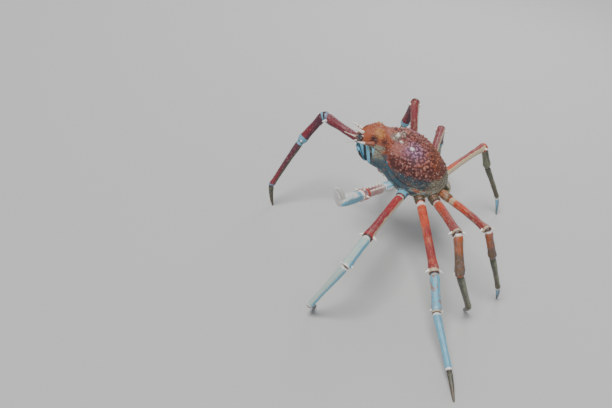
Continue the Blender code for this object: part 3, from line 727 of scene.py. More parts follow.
class Finish:
    """A procedural material: its Principled shader and the nodes that feed it."""

    def __init__(self, name, coat, coat_roughness):
        self.material = bpy.data.materials.new(name)
        self.material.use_nodes = True
        self.tree = self.material.node_tree
        self.shader = self.tree.nodes["Principled BSDF"]
        self.shader.inputs["Coat Weight"].default_value = coat
        self.shader.inputs["Coat Roughness"].default_value = coat_roughness
        self.object_place = self.node("ShaderNodeTexCoord", "Object")

    def node(self, kind, output, settings=None, inputs=None):
        """Add a node: its settings first, then the values or wires of its sockets."""
        made = self.tree.nodes.new(kind)
        for key, value in (settings or {}).items():
            setattr(made, key, value)
        for key, value in (inputs or {}).items():
            self.feed(made.inputs[key], value)
        return Wire(self, made.outputs[output])

    def feed(self, socket, value):
        """Link a wire to a socket, or set the socket's own value."""
        if isinstance(value, Wire):
            self.tree.links.new(value.socket, socket)
        elif socket.type == "RGBA":
            socket.default_value = (*value, 1.0)
        else:
            socket.default_value = value

    def mask(self, name, output="Fac"):
        """An attribute of the mesh."""
        return self.node("ShaderNodeAttribute", output, {"attribute_name": name})

    def mix(self, factor, first, second):
        """Two colours mixed by a factor."""
        inputs = {0: factor, 6: first, 7: second}
        return self.node("ShaderNodeMix", 2, {"data_type": "RGBA"}, inputs)

    def vector(self, operation, first, second=(0, 0, 0)):
        """A Vector Math node."""
        inputs = {0: first, 1: second}
        return self.node("ShaderNodeVectorMath", "Vector", {"operation": operation}, inputs)

    def axis(self, vector, number):
        """One coordinate of a vector."""
        return self.node("ShaderNodeSeparateXYZ", number, None, {0: vector})

    def noise(self, scale, detail=3.0, roughness=0.55, place=None, output="Fac"):
        """Noise in the object's metres, or along another vector."""
        place = self.object_place if place is None else place
        inputs = {"Vector": place, "Scale": scale, "Detail": detail, "Roughness": roughness}
        return self.node("ShaderNodeTexNoise", output, None, inputs)

    def wobble(self, scale):
        """Noise about 0."""
        return self.noise(scale, 4.0, 0.6) - 0.5

    def uneven_place(self, scale, reach):
        """The place in the body's frame, moved by coloured noise up to half the reach each way."""
        place = self.mask("place", "Vector")
        noise = self.noise(scale, 4.0, 0.6, place, "Color")
        noise = self.vector("SUBTRACT", noise, (0.5, 0.5, 0.5))
        return self.vector("ADD", place, self.vector("MULTIPLY", noise, (reach, reach, reach)))

    def cells(self, scale, output="Distance", feature="F1"):
        """Cells in the object's metres: the distance to the nearest middle, or its colour."""
        inputs = {"Vector": self.object_place, "Scale": scale}
        return self.node("ShaderNodeTexVoronoi", output, {"feature": feature}, inputs)

    def chosen_cells(self, scale, from_red, to_red, inner, outer):
        """Spots round the middles of those cells whose colour has the most red."""
        red = self.node("ShaderNodeSeparateColor", 0, None, {0: self.cells(scale, "Color")})
        return self.ramp(red, from_red, to_red) * self.ramp(self.cells(scale), inner, outer, 1.0, 0.0)

    def ramp(self, value, low, high, start=0.0, end=1.0):
        """A smooth S from start to end as a value goes from low to high."""
        inputs = {"Value": value, 1: low, 2: high, 3: start, 4: end}
        settings = {"interpolation_type": "SMOOTHSTEP"}
        return self.node("ShaderNodeMapRange", 0, settings, inputs)

    def spotted(self, colour, place, spots, paints):
        """A colour with soft round spots: 1 within the inner radius and 0 beyond the outer one."""
        for middle, inner, outer, strength, paint in spots:
            offset = self.vector("SUBTRACT", place, middle)
            away = self.node("ShaderNodeVectorMath", "Value", {"operation": "LENGTH"}, {0: offset})
            spot = self.ramp(away, inner, outer, 1.0, 0.0) * strength
            colour = self.mix(spot, colour, getattr(paints, f"{paint}_colour"))
        return colour

    def bump(self, height, distance, strength=1.0, under=None):
        """A Bump node on a height, over an earlier one."""
        inputs = {"Height": height, "Distance": distance, "Strength": strength}
        if under is not None:
            inputs["Normal"] = under
        return self.node("ShaderNodeBump", 0, None, inputs)

    def done(self, colour, roughness, normal):
        """Feed the shader and give the material."""
        self.feed(self.shader.inputs["Base Color"], colour)
        self.feed(self.shader.inputs["Roughness"], roughness)
        self.feed(self.shader.inputs["Normal"], normal)
        return self.material


def settings_of(context):
    """The property groups that hold the sizes and colours."""
    return context.scene.crab_shell, context.scene.crab_limbs, context.scene.crab_stage


def shell_finish(shell):
    """The shell's material.

    Coloured zones are laid over each other by their place in the body's frame, which noise
    makes uneven; the middle's mauve is partly a painted highlight and the dark zones under the
    head's lobes are painted shade. Knob tips are pale, the crevices between knobs darkened as
    painted shade, and single cells of a fine pattern whitish. The lowest band of the flank is
    grey green, partly painted blue light and shade with painted shade between its granules, and
    cream at the rear.
    """
    f = Finish("shell_carapace_finish", 0.12, 0.35)
    uneven = f.uneven_place(7.0, 0.09)
    side = f.axis(f.vector("ABSOLUTE", uneven), 0)
    length, height = f.axis(uneven, 1), f.axis(uneven, 2)
    folded = f.node("ShaderNodeCombineXYZ", 0, None, {0: side, 1: length, 2: height})
    knob, grain = f.mask("knob"), f.mask("grain")

    # Head, middle and rear with tan blotches and orange stains; the middle's mauve pink is partly
    # a painted highlight of blue light
    colour = f.mix(f.ramp(length, -0.32, -0.18), shell.head_colour, shell.middle_colour)
    colour = f.mix(f.ramp(length, 0.06, 0.24), colour, shell.rear_colour)
    blotch = f.ramp(f.noise(38.0, 4.0, 0.65), 0.50, 0.62)
    blotch = blotch * f.ramp(length, 0.10, 0.24, 0.50, 0.15)
    colour = f.mix(blotch, colour, shell.blotch_colour)
    squat = f.vector("MULTIPLY", f.object_place, (1.0, 1.0, 1.6))
    patch = f.ramp(f.noise(46.0, 4.0, 0.65, squat), 0.53, 0.61)
    colour = f.mix(patch * 0.55, colour, shell.stain_colour)

    # Brown low on the flank, dark streaks and the round zones, of which the dark ones under the
    # head's lobes are painted shade
    low = f.ramp(height, 0.21, 0.09) * f.ramp(length, -0.30, -0.16)
    colour = f.mix(low * 0.65, colour, shell.flank_colour)
    streak = f.ramp(f.noise(60.0, 3.0, 0.6), 0.56, 0.66)
    colour = f.mix(streak * 0.5, colour, shell.dark_colour)
    colour = f.spotted(colour, folded, SHELL_ZONES, shell)

    # The pale cheek under the head's rim
    cheek = f.ramp(height, 0.245, 0.220) * f.ramp(length, -0.305, -0.335)
    cheek = cheek * f.ramp(length, -0.50, -0.47)
    colour = f.mix(cheek * 0.92, colour, cheek_paint(f, shell, 0.7))

    # Painted shade in the crevices, fainter on calm parts, then pale tips, whitish cells and small
    # marks
    crevice_shade = f.ramp(knob + grain * 0.20, 0.04, 0.42, 1.0, 0.0)
    crevice_shade = crevice_shade * f.ramp(f.mask("pale"), 0.1, 0.9, 0.80, 0.12)
    colour = f.mix(crevice_shade, colour, shell.dark_colour)
    tip = f.ramp(knob, 0.55, 0.95)
    colour = f.mix(tip * 0.40, colour, shell.tip_colour)
    speck = f.chosen_cells(230.0, 0.92, 0.94, 0.30, 0.45)
    colour = f.mix(speck * f.ramp(height, 0.30, 0.10, 0.15, 0.50), colour, shell.speck_colour)
    colour = f.spotted(colour, folded, SHELL_MARKS, shell)

    # The wall band over the rim, a little higher at the rear, its grey green partly painted blue
    # light and shade, and the spines' white ends
    lift = f.ramp(length, -0.05, 0.20) * 0.015
    band = f.ramp(height - lift + f.wobble(30.0) * 0.06, 0.062, 0.010)
    band = band * f.ramp(length, -0.27, -0.20)
    wall = f.mix(f.ramp(length, 0.14, 0.24), shell.wall_colour, shell.belly_colour)
    wall = f.mix(f.ramp(f.noise(75.0, 4.0, 0.6), 0.50, 0.60) * 0.45, wall, shell.cheek_colour)
    wall = f.mix(f.ramp(grain, 0.35, 0.9) * 0.45, wall, shell.pale_colour)
    # Painted shade between the band's granules
    wall = f.mix(f.ramp(grain, 0.25, 0.0) * 0.55, wall, shell.mouth_line_colour)
    gaps = f.ramp(f.noise(110.0, 3.0, 0.6), 0.60, 0.52, 0.45, 0.94)
    colour = f.mix(band * gaps, colour, wall)
    colour = f.mix(f.ramp(f.mask("spur"), 0.20, 0.75) * 0.95, colour, shell.horn_colour)
    roughness = f.ramp(f.noise(90.0, 3.0), 0.3, 0.7, 0.44, 0.70) - tip * 0.10
    normal = f.bump(f.noise(300.0, 4.0, 0.7), 0.0012, 0.6, f.bump(f.cells(420.0), 0.0009, 0.5))
    return f.done(colour, roughness, normal)


def cheek_paint(f, shell, strength):
    """The cheek's colour under a brown net, which is where two cells' middles are as near."""
    net = f.ramp(f.cells(75.0, feature="DISTANCE_TO_EDGE"), 0.10, 0.02)
    return f.mix(net * strength, shell.cheek_colour, shell.flank_colour)


def mouth_stripes(length, height):
    """1 on the stripes beside the mouth and 0 between them: a sine of the place along the chin."""
    along = length - 0.35 * (0.16 - height) + MOUTH_STRIPE_START
    return 0.5 + 0.5 * np.sin(along * 2 * np.pi / MOUTH_STRIPE)


def underside_finish(shell):
    """The body's side walls and keel: grey-blue and granular, cream at the rear and the cheeks.

    Beside the mouth it has blue-white stripes with dark gaps, from the mesh's own mask. The blue
    of the stripes and the grey blue of the walls are partly painted blue light and shade, and the
    hollows, grooves and fold are darkened as painted shade. A strip under the rear of the rim is
    mottled orange. The skin round the limbs' roots is dark, in a pale collar.
    """
    f = Finish("underside_finish", 0.10, 0.3)
    place, uneven = f.mask("place", "Vector"), f.uneven_place(9.0, 0.08)
    length, height = f.axis(uneven, 1), f.axis(uneven, 2)
    knob, stripe = f.mask("knob"), f.mask("along")

    # Walls, grey blue partly as painted blue light and shade, pale keel, cheeks and rear, with
    # orange blotches
    colour = f.mix(f.ramp(height, -0.14, -0.21), shell.wall_colour, shell.belly_colour)
    cheek = f.ramp(length, -0.26, -0.34) * f.ramp(height, 0.025, 0.125)
    colour = f.mix(cheek, colour, cheek_paint(f, shell, 0.6))
    colour = f.mix(f.ramp(length, 0.16, 0.28), colour, shell.belly_colour)
    blotch = f.ramp(f.noise(70.0, 4.0, 0.65), 0.54, 0.62)
    blotch = blotch * f.ramp(length, -0.45, -0.05, 0.30, 0.18)
    colour = f.mix(blotch, colour, shell.stain_colour)

    # The mottled strip, then painted shade in the hollows and grooves, and pale grains
    strip = f.ramp(height, -0.125, -0.105) * f.ramp(length, -0.02, 0.05)
    mottle = f.ramp(f.noise(95.0, 3.0, 0.6), 0.44, 0.54)
    colour = f.mix(strip * 0.9, colour, f.mix(mottle, shell.stain_colour, shell.pale_colour))
    colour = f.mix(f.ramp(knob, 0.0, 0.3, 0.60, 0.0), colour, shell.dark_colour)
    colour = f.mix(f.ramp(knob, 0.55, 0.95) * 0.35, colour, shell.pale_colour)

    # The stripes beside the mouth, and the collars
    beside = f.ramp(f.axis(place, 1), -0.395, -0.415) * f.ramp(f.axis(place, 2), 0.185, 0.165)
    stripe = f.ramp(stripe + f.wobble(70.0) * 0.6, 0.26, 0.55)
    stripes = f.mix(stripe, shell.mouth_line_colour, shell.mouth_colour)
    stripes = f.mix(f.ramp(f.noise(130.0, 4.0), 0.56, 0.66) * 0.55, stripes, shell.belly_colour)
    colour = f.mix(beside, colour, stripes)
    colour = f.mix(f.mask("pale") * 0.75, colour, shell.pale_colour)
    colour = f.mix(f.mask("skin"), colour, shell.skin_colour)
    colour = f.mix(f.ramp(f.mask("spur"), 0.2, 0.8), colour, shell.tip_colour)
    roughness = f.ramp(f.noise(110.0, 3.0), 0.3, 0.7, 0.40, 0.66)
    return f.done(colour, roughness, f.bump(f.noise(330.0, 4.0, 0.65), 0.0010, 0.6))


def mouth_finish(shell):
    """Mouth plates: pale blue-white stripes along them, with brown lines between."""
    f = Finish("mouth_finish", 0.25, 0.2)
    # The stripes' blue is partly painted blue light on pale plates
    wave = f.axis(f.mask("place", "Vector"), 0) * 330.0 + f.noise(45.0, 3.0) * 3.0
    stripe = f.ramp(wave.maths("SINE", wave), -0.55, 0.35)
    colour = f.mix(stripe, shell.mouth_line_colour, shell.mouth_colour)
    colour = f.mix(f.ramp(f.noise(120.0, 4.0), 0.55, 0.66) * 0.5, colour, shell.stain_colour)
    colour = f.mix(f.ramp(f.mask("knob"), 0.0, 0.25, 0.7, 0.0), colour, shell.dark_colour)
    normal = f.bump(f.noise(380.0, 3.0), 0.0006, 0.5)
    return f.done(colour, f.ramp(f.noise(90.0), 0.3, 0.7, 0.28, 0.5), normal)


def eye_finish():
    """The eyes: near black and wet, with a fine net of facets."""
    f = Finish("eye_finish", 0.9, 0.04)
    skin = f.mask("skin")
    facets = f.cells(2600.0)
    colour = f.mix(f.ramp(facets, 0.2, 0.6), FACET_COLOUR, FACET_EDGE_COLOUR)
    colour = f.mix(skin, colour, STALK_COLOUR)
    roughness = f.ramp(skin, 0.2, 0.8, 0.09, 0.5)
    return f.done(colour, roughness, f.bump(facets, 0.0002, 0.25))


def limb_finish(
    name, limbs, top, under, near, ring, cloud,
    reach=0.10, mottle=0.3, far_dark=0.0, edge=0.0, ring_start=RING_START,
):
    """A limb segment's material.

    The top colour has clouds, more of them towards the far end. It turns to the under colour
    where the surface faces down and to the rear by more than the edge, which is a real pale
    underside on some limbs and painted shade where it is darker than the top, to the near colour
    over the first part of the length, and to the ring colour at the very end. Streaks follow
    the length, patches let the under colour through, and fine pale granules lie all over it.
    """
    f = Finish(name, 0.20, 0.25)
    along, pale, knob = f.mask("along"), f.mask("pale"), f.mask("knob")
    clouds = f.ramp(f.noise(24.0, 3.0) + along * 0.60, 0.60, 0.95)
    colour = f.mix(clouds * 0.80, top, cloud)

    # Streaks along the limb, light and dark, patches, and the under side, painted shade where it is
    # darker than the top
    streaks = f.noise(330.0, 4.0, 0.6, f.mask("place", "Vector"))
    colour = f.mix(f.ramp(streaks, 0.54, 0.66) * (mottle * 0.6 + 0.25), colour, under)
    colour = f.mix(f.ramp(streaks, 0.46, 0.36) * 0.45, colour, cloud)
    patches = f.ramp(f.noise(62.0, 4.0, 0.7), 0.52, 0.62)
    colour = f.mix(patches * mottle, colour, under)
    shift = f.wobble(48.0) * 0.7
    colour = f.mix(f.ramp(pale + shift, edge - 0.12, edge + 0.12), colour, under)

    # Near end, ring, the skin past it, and the dark foot
    uneven = (f.noise(80.0, 3.0) - 0.5) * 0.05
    colour = f.mix(f.ramp(along + uneven, reach, reach * 0.6) * 0.95, colour, near)
    colour = f.mix(f.ramp(along, ring_start, ring_start + 0.012) * 0.9, colour, ring)
    colour = f.mix(f.ramp(along, 0.974, 0.982) * 0.95, colour, limbs.skin_colour)
    if far_dark:
        colour = f.mix(f.ramp(along, 0.25, 0.75) * far_dark, colour, limbs.tip_colour)
    colour = f.mix(f.mask("skin"), colour, limbs.skin_colour)

    # Granules and white spurs
    granule = f.chosen_cells(340.0, 0.80, 0.86, 0.25, 0.42)
    colour = f.mix(granule * 0.40, colour, limbs.granule_colour)
    colour = f.mix(f.ramp(knob, 0.45, 0.95) * 0.25, colour, limbs.granule_colour)
    colour = f.mix(f.ramp(f.mask("spur"), 0.15, 0.6), colour, limbs.spur_colour)
    roughness = f.ramp(f.noise(130.0, 3.0), 0.3, 0.7, 0.34, 0.58)
    normal = f.bump(f.noise(260.0, 4.0, 0.6), 0.0008, 0.6)
    normal = f.bump(granule, 0.0005, 0.7, f.bump(streaks, 0.0006, 0.4, normal))
    return f.done(colour, roughness, normal)


def colour_property(name, description, default):
    """A colour that a user can change."""
    return FloatVectorProperty(
        name=name, description=description, default=default,
        subtype="COLOR", size=3, min=0.0, max=1.0,
    )


def length_property(name, description, default):
    """A length in metres that a user can change."""
    return FloatProperty(
        name=name, description=description, default=default, unit="LENGTH", min=0.0, precision=4
    )


def light_property(name, description, default):
    """A lamp's power, or the strength of an even light, that a user can change."""
    return FloatProperty(name=name, description=description, default=default, min=0.0)


class CrabShellSettings(bpy.types.PropertyGroup):
    """Sizes and colours of the body."""

    knob_height: length_property("Knob height", "Height of the largest knobs on the shell", 0.0030)
    grain_height: length_property("Grain height", "Height of the small knobs between them", 0.0011)
    wall_grain: length_property("Wall grain", "Height of the granules on the side walls", 0.0007)
    head_colour: colour_property("Head", "Brick orange of the head", (0.33, 0.075, 0.022))
    middle_colour: colour_property("Middle", "Mauve pink of the shell's middle", (0.27, 0.070, 0.056))
    # The middle's mauve pink is partly the shell's tone, partly a painted highlight of blue light
    rear_colour: colour_property("Rear", "Brown red of the rear", (0.22, 0.048, 0.011))
    flank_colour: colour_property("Flank", "Brown of the lower flank", (0.11, 0.040, 0.036))
    # Mauve: partly the shell's tone, partly a painted highlight of blue light
    mauve_colour: colour_property("Mauve", "Mauve of the middle's sides", (0.34, 0.200, 0.380))
    blotch_colour: colour_property("Blotches", "Pinkish tan of the blotches", (0.37, 0.140, 0.115))
    # Crevices: painted shade between the knobs, in the underside's hollows and grooves and under the head's
    # lobes; it also gives the dark streaks and the mouth plates' dark joints
    dark_colour: colour_property("Crevices", "Dark purple brown between the knobs", (0.040, 0.008, 0.010))
    lobe_colour: colour_property("Cheek lobe", "Yellow tan of the lobe over each cheek", (0.46, 0.19, 0.050))
    pale_colour: colour_property("Cream", "Cream of the pale patches", (0.36, 0.39, 0.32))
    tip_colour: colour_property("Tips", "Colour of the knob tips", (0.50, 0.285, 0.195))
    horn_colour: colour_property("Horns", "White of the horns and spine ends", (0.80, 0.77, 0.70))
    speck_colour: colour_property("Specks", "White of the specks", (0.70, 0.66, 0.60))
    # Side wall: grey partly blued and darkened as painted blue light and shade
    wall_colour: colour_property("Side wall", "Grey green of the side walls", (0.034, 0.086, 0.112))
    belly_colour: colour_property("Belly", "Pale colour of the keel", (0.33, 0.33, 0.22))
    cheek_colour: colour_property("Cheek", "Pale colour beside the mouth", (0.25, 0.26, 0.20))
    stain_colour: colour_property("Stain", "Orange brown stains on the pale parts", (0.34, 0.080, 0.018))
    skin_colour: colour_property("Skin", "Brown skin round the limbs' roots", (0.050, 0.018, 0.010))
    # Mouth: pale plates partly blued as painted blue light
    mouth_colour: colour_property("Mouth", "Blue white of the mouth plates", (0.17, 0.48, 0.66))
    # Mouth lines also give painted shade between the granules of the shell's wall band
    mouth_line_colour: colour_property("Mouth lines", "Dark lines of the mouth plates", (0.015, 0.015, 0.020))


class CrabLimbSettings(bpy.types.PropertyGroup):
    """Sizes and colours of the limbs."""

    granule_height: length_property("Granule height", "Height of the granules on the limbs", 0.00045)
    rib_height: length_property("Rib height", "Height of the low ribs along the limbs", 0.00035)
    red_colour: colour_property("Red", "Orange red of the near limbs", (0.50, 0.050, 0.014))
    pink_colour: colour_property("Pink", "Pink red of the first near leg", (0.37, 0.026, 0.036))
    # Maroon and dusk are the far limbs' red darkened as painted shade
    maroon_colour: colour_property("Maroon", "Brown red of the far limbs", (0.13, 0.014, 0.014))
    dusk_colour: colour_property("Dusk", "Dark maroon of the first far leg", (0.080, 0.016, 0.034))
    cream_colour: colour_property("Cream", "Cream of the pale sides", (0.52, 0.42, 0.27))
    white_colour: colour_property("White", "White of joints", (0.72, 0.70, 0.66))
    # Ice: pale outer segments with painted blue light, darker where it stands for painted shade
    ice_colour: colour_property("Ice", "Blue white of the outer segments", (0.13, 0.38, 0.51))
    # Lavender: grey lavender darkened and blued as painted shade
    lavender_colour: colour_property("Lavender", "Grey lavender of the wrists", (0.13, 0.19, 0.30))
    frost_colour: colour_property("Frost", "Pale green white of the first near leg", (0.42, 0.52, 0.47))
    khaki_colour: colour_property("Khaki", "Pale khaki of the outer rear segments", (0.17, 0.18, 0.115))
    olive_colour: colour_property("Olive", "Olive brown of the outer rear segments", (0.062, 0.066, 0.044))
    deep_colour: colour_property("Deep", "Crimson clouds on the limbs", (0.19, 0.014, 0.026))
    tip_colour: colour_property("Foot tips", "Dark horn colour of the feet", (0.08, 0.06, 0.035))
    skin_colour: colour_property("Skin", "Dark skin in the joints", (0.050, 0.018, 0.014))
    granule_colour: colour_property("Granules", "Pale granules", (0.74, 0.58, 0.46))
    spur_colour: colour_property("Spurs", "White of spurs and spines", (0.84, 0.81, 0.76))
    claw_colour: colour_property("Claw", "Pinkish white of the claws", (0.56, 0.36, 0.33))
    stain_colour: colour_property("Stain", "Orange brown of the mottled parts", (0.36, 0.085, 0.018))


class CrabStageSettings(bpy.types.PropertyGroup):
    """Floor, lights and camera."""

    floor_size: length_property("Floor size", "Half width of the floor", 12.0)
    floor_colour: colour_property("Floor", "Pale grey of the floor", (0.50, 0.50, 0.495))
    world_colour: colour_property("World", "Colour of the light all round", (0.92, 0.95, 1.0))
    world_strength: light_property("World light", "Strength of the light all round", 0.32)
    key_power: light_property("Key light", "Watts to a square metre of the even lamp", 3.5)
    fill_power: light_property("Fill light", "Watts of the lamp by the camera", 10.0)
    rim_power: light_property("Rim light", "Watts of the lamp behind", 20.0)


def bell(x, y, z, width):
    """A bell curve of the distance from a point."""
    return np.exp(-(x**2 + y**2 + z**2) / width**2)


def tubercle_places():
    """The CAD part's seeded places for the shell's larger tubercles, with their radii."""
    draw = random.Random(TUBERCLE_SEED)
    places = []
    for _ in range(TUBERCLE_TRIES):
        y = draw.uniform(-0.53, 0.40) * SHELL_LENGTH
        half = float(shell_half_width(y / SHELL_LENGTH)) * SHELL_LENGTH
        x = math.sin(draw.uniform(-1.3, 1.3)) * half
        if all(math.hypot(x - a, y - b) >= TUBERCLE_SPACE for a, b, _ in places):
            places.append((x, y, draw.uniform(*TUBERCLE_RADII)))
        if len(places) == TUBERCLE_COUNT:
            break
    return places


def white_end(rows, start):
    """The white mask of a spine: an S over a quarter of its length."""
    return step_between(start, start + 0.25, np.linspace(0, 1, rows))[:, None]


def add_spine(piece, root, tip, radius, blunt, bend, columns, white, at=None):
    """Add a spine of the shell, whose foot takes the shell's colour at its middle or elsewhere."""
    middle = (root + tip) / 2 / SHELL_LENGTH if at is None else at
    middle = np.broadcast_to(middle, (len(white), columns, 3))
    root, tip, bend = body_place(root), body_place(tip), turned(bend)
    piece.thorn(
        root, tip, radius, blunt, bend, len(white), columns, place=middle, knob=0.7, spur=white
    )


def add_spine_row(piece, flip, lean, radius, spines):
    """Add a row of spines, which stand on the shell and lean out of its outward direction."""
    for y, part, length in spines:
        foot, out = shell_point(flip[0] * part * float(shell_half_width(y)), y)
        way = unit(out + lean * flip)
        root, tip = foot - way * radius * 1.2, foot + way * length
        white = white_end(9, 0.86)
        add_spine(piece, root, tip, radius * 1.1, SPINE_BLUNTNESS, (0, 0, 0), 12, white)


def carapace_piece(shell):
    """The shell: the CAD dome with two sizes of knobs, its tubercles, spines and horns.

    Across the body the height is the sine of an angle from rim to rim, and the side is what
    the dome's formula then gives. Knobs push each point out along its outward direction.
    """
    piece = Piece("carapace_fine")
    y = body_rows(306)[:, None]
    angle = np.linspace(0, np.pi, 246)[None]
    lift = np.sin(angle)
    across = np.sqrt(np.clip(1 - lift ** (2 / SHELL_DOME_POWER), 0, 1)) * np.sign(np.cos(angle))
    half = shell_half_width(y)
    x = half * across
    rim, top = smooth_curve(SHELL_STATIONS, y, 2), smooth_curve(SHELL_STATIONS, y, 3)
    dome = np.stack([x, y + 0 * x, rim + (top - rim + lobes(x, y)) * lift], -1)
    flat = half * np.linspace(-1, 1, SHELL_LID + 2)[None, 1:-1]
    under = np.stack([flat, y + 0 * flat, rim + 0 * flat], -1)
    grid = rounded_ends(np.concatenate([dome, under], axis=1), 0.022, 0.016, 7) * SHELL_LENGTH
    raised = np.concatenate([step_between(0.0, 0.10, lift), np.zeros((1, SHELL_LID))], axis=1)
    place = grid / SHELL_LENGTH
    head = step_between(-0.20, -0.32, place[..., 1])
    low = step_between(0.06, 0.0, place[..., 2])
    smooth = bell(np.abs(place[..., 0]) - 0.19, place[..., 1] + 0.18, place[..., 2] - 0.25, 0.085)
    calm = np.clip(head + smooth + 0.55 * step_between(0.14, 0.24, place[..., 1]), 0, 1)
    large = knobs(grid, *LARGE_KNOBS) * (1 - 0.75 * calm) * (1 - 0.8 * low)
    small = knobs(grid, *SMALL_KNOBS)
    swell = value_noise(grid, SHELL_SWELL_PITCH, 31) - 0.5
    height = large * shell.knob_height + small * (1 - 0.7 * large) * shell.grain_height
    height = (height + swell * SHELL_SWELL_HEIGHT * (1 - low)) * raised
    grid = grid + grid_normals(grid) * height[..., None]
    piece.add(body_place(grid), place, knob=large * raised + 0.6 * (1 - raised), grain=small, pale=calm)

    for x, y, radius in tubercle_places():
        foot, out = shell_point(x / SHELL_LENGTH, y / SHELL_LENGTH)
        root, tip = foot - out * radius, foot + out * radius * 1.05
        rise = np.linspace(0, 0.36, 6)[:, None] ** 1.5
        add_spine(piece, root, tip, radius * 1.15, 0.42, (0, 0, 0), 9, rise)
    for side in (-1, 1):
        flip = np.array([side, 1, 1])
        for root, tip, radius, blunt, bend, rows, columns, start, at in HEAD_SPINES:
            white = white_end(rows, start)
            add_spine(piece, root * flip, tip * flip, radius, blunt, bend * flip, columns, white, at)
        for row in SIDE_SPINES:
            add_spine_row(piece, flip, *row)
    add_spine_row(piece, np.ones(3), *MIDLINE_SPINES)
    piece.finish(shell_finish(shell), ["carapace"], "carapace")


def hip_collars(points):
    """How near each point lies to the collar of a limb's root: a bell curve of its distance from
    the limb's axis, and a mask of the skin within it."""
    collar = np.zeros(points.shape[:-1])
    skin = np.zeros(points.shape[:-1])
    for side in (-1, 1):
        for limb in HIP:
            root, end = hip_points(side, limb)
            axis = unit(end - root)
            offset = points - (root - MIDDLE)
            forward = offset @ axis
            away = np.linalg.norm(offset - forward[..., None] * axis, axis=-1) / HIP_RADIUS[limb]
            near = (forward > COLLAR_SPAN[0]) & (forward < COLLAR_SPAN[1])
            collar = np.maximum(collar, hump(away, COLLAR_RADIUS, COLLAR_WIDTH) * near)
            skin = np.maximum(skin, step_between(*COLLAR_SKIN, away) * near)
    return collar, skin


def underbody_piece(shell):
    """The body under the shell: side walls sloping in to the keel, with grooves between the legs.

    Each ring's half is a smooth curve through the CAD outline, from the rim down to the
    midline, and is mirrored. Grooves are bell curves across the keel and along its middle.
    """
    piece = Piece("underbody_fine")
    y = np.linspace(KEEL_STATIONS[0][0], KEEL_STATIONS[-1][0], 230)[:, None]
    s = np.linspace(0, 1, 64)[None]
    half = UNDERBODY_PART * shell_half_width(y)
    top = smooth_curve(SHELL_STATIONS, y, 2) - UNDERSIDE_DROP / SHELL_LENGTH
    depth = smooth_curve(KEEL_STATIONS, y) - top
    x = half * smooth_curve(UNDERBODY_OUTLINE, s, 1)
    z = top + depth * smooth_curve(UNDERBODY_OUTLINE, s, 2)
    near = np.stack([x, y + 0 * x, z], -1)
    far = (near * np.array([-1, 1, 1]))[:, ::-1]
    flat = half * np.linspace(-1, 1, UNDERBODY_LID + 2)[None, 1:-1]
    lid = np.stack([flat, y + 0 * flat, top + 0 * flat], -1)
    rings = np.concatenate([near, far[:, 1:], lid], axis=1)
    grid = rounded_ends(rings, 0.006, 0.006, 4) * SHELL_LENGTH
    down = np.concatenate([s[0], s[0][::-1][1:], np.zeros(UNDERBODY_LID)])[None]
    raised = step_between(0.01, 0.08, down)
    length = grid[..., 1] / SHELL_LENGTH
    bottom = step_between(0.50, 0.75, down)
    grooves = sum(hump(length, groove, GROOVE_WIDTH) for groove in LEG_GROOVES)
    middle = hump(grid[..., 0], 0.0, 0.0022)
    fold = hump(down, 0.30, 0.035) * step_between(-0.36, -0.22, length)
    grains = knobs(grid, *WALL_GRAINS)
    tall = grid[..., 2] / SHELL_LENGTH
    stripe = mouth_stripes(length, tall)
    beside = step_between(-0.395, -0.415, length) * step_between(0.185, 0.165, tall)
    height = grains * shell.wall_grain * (1 - 0.75 * bottom) * raised * (1 - beside)
    height = height + (stripe - 0.6) * STRIPE_HEIGHT * beside * raised
    sunk = grooves * bottom * GROOVE_DEPTH + middle * bottom * MIDLINE_DEPTH + fold * FOLD_DEPTH
    height = height - sunk
    place = grid / SHELL_LENGTH
    points = body_place(grid + grid_normals(grid) * height[..., None])
    collar, skin = hip_collars(points)
    points = points + grid_normals(points) * (collar * raised * COLLAR_HEIGHT)[..., None]
    # The knob mask is lowered in the grooves and the fold, where the finish paints shade
    knob = 0.35 + 0.65 * grains * raised - 0.35 * np.clip(grooves * bottom + fold, 0, 1)
    skin, collar = skin * raised, collar * raised
    piece.add(points, place, knob=knob, skin=skin, along=stripe, pale=collar)
    piece.finish(underside_finish(shell), ["underbody"], "underbody")


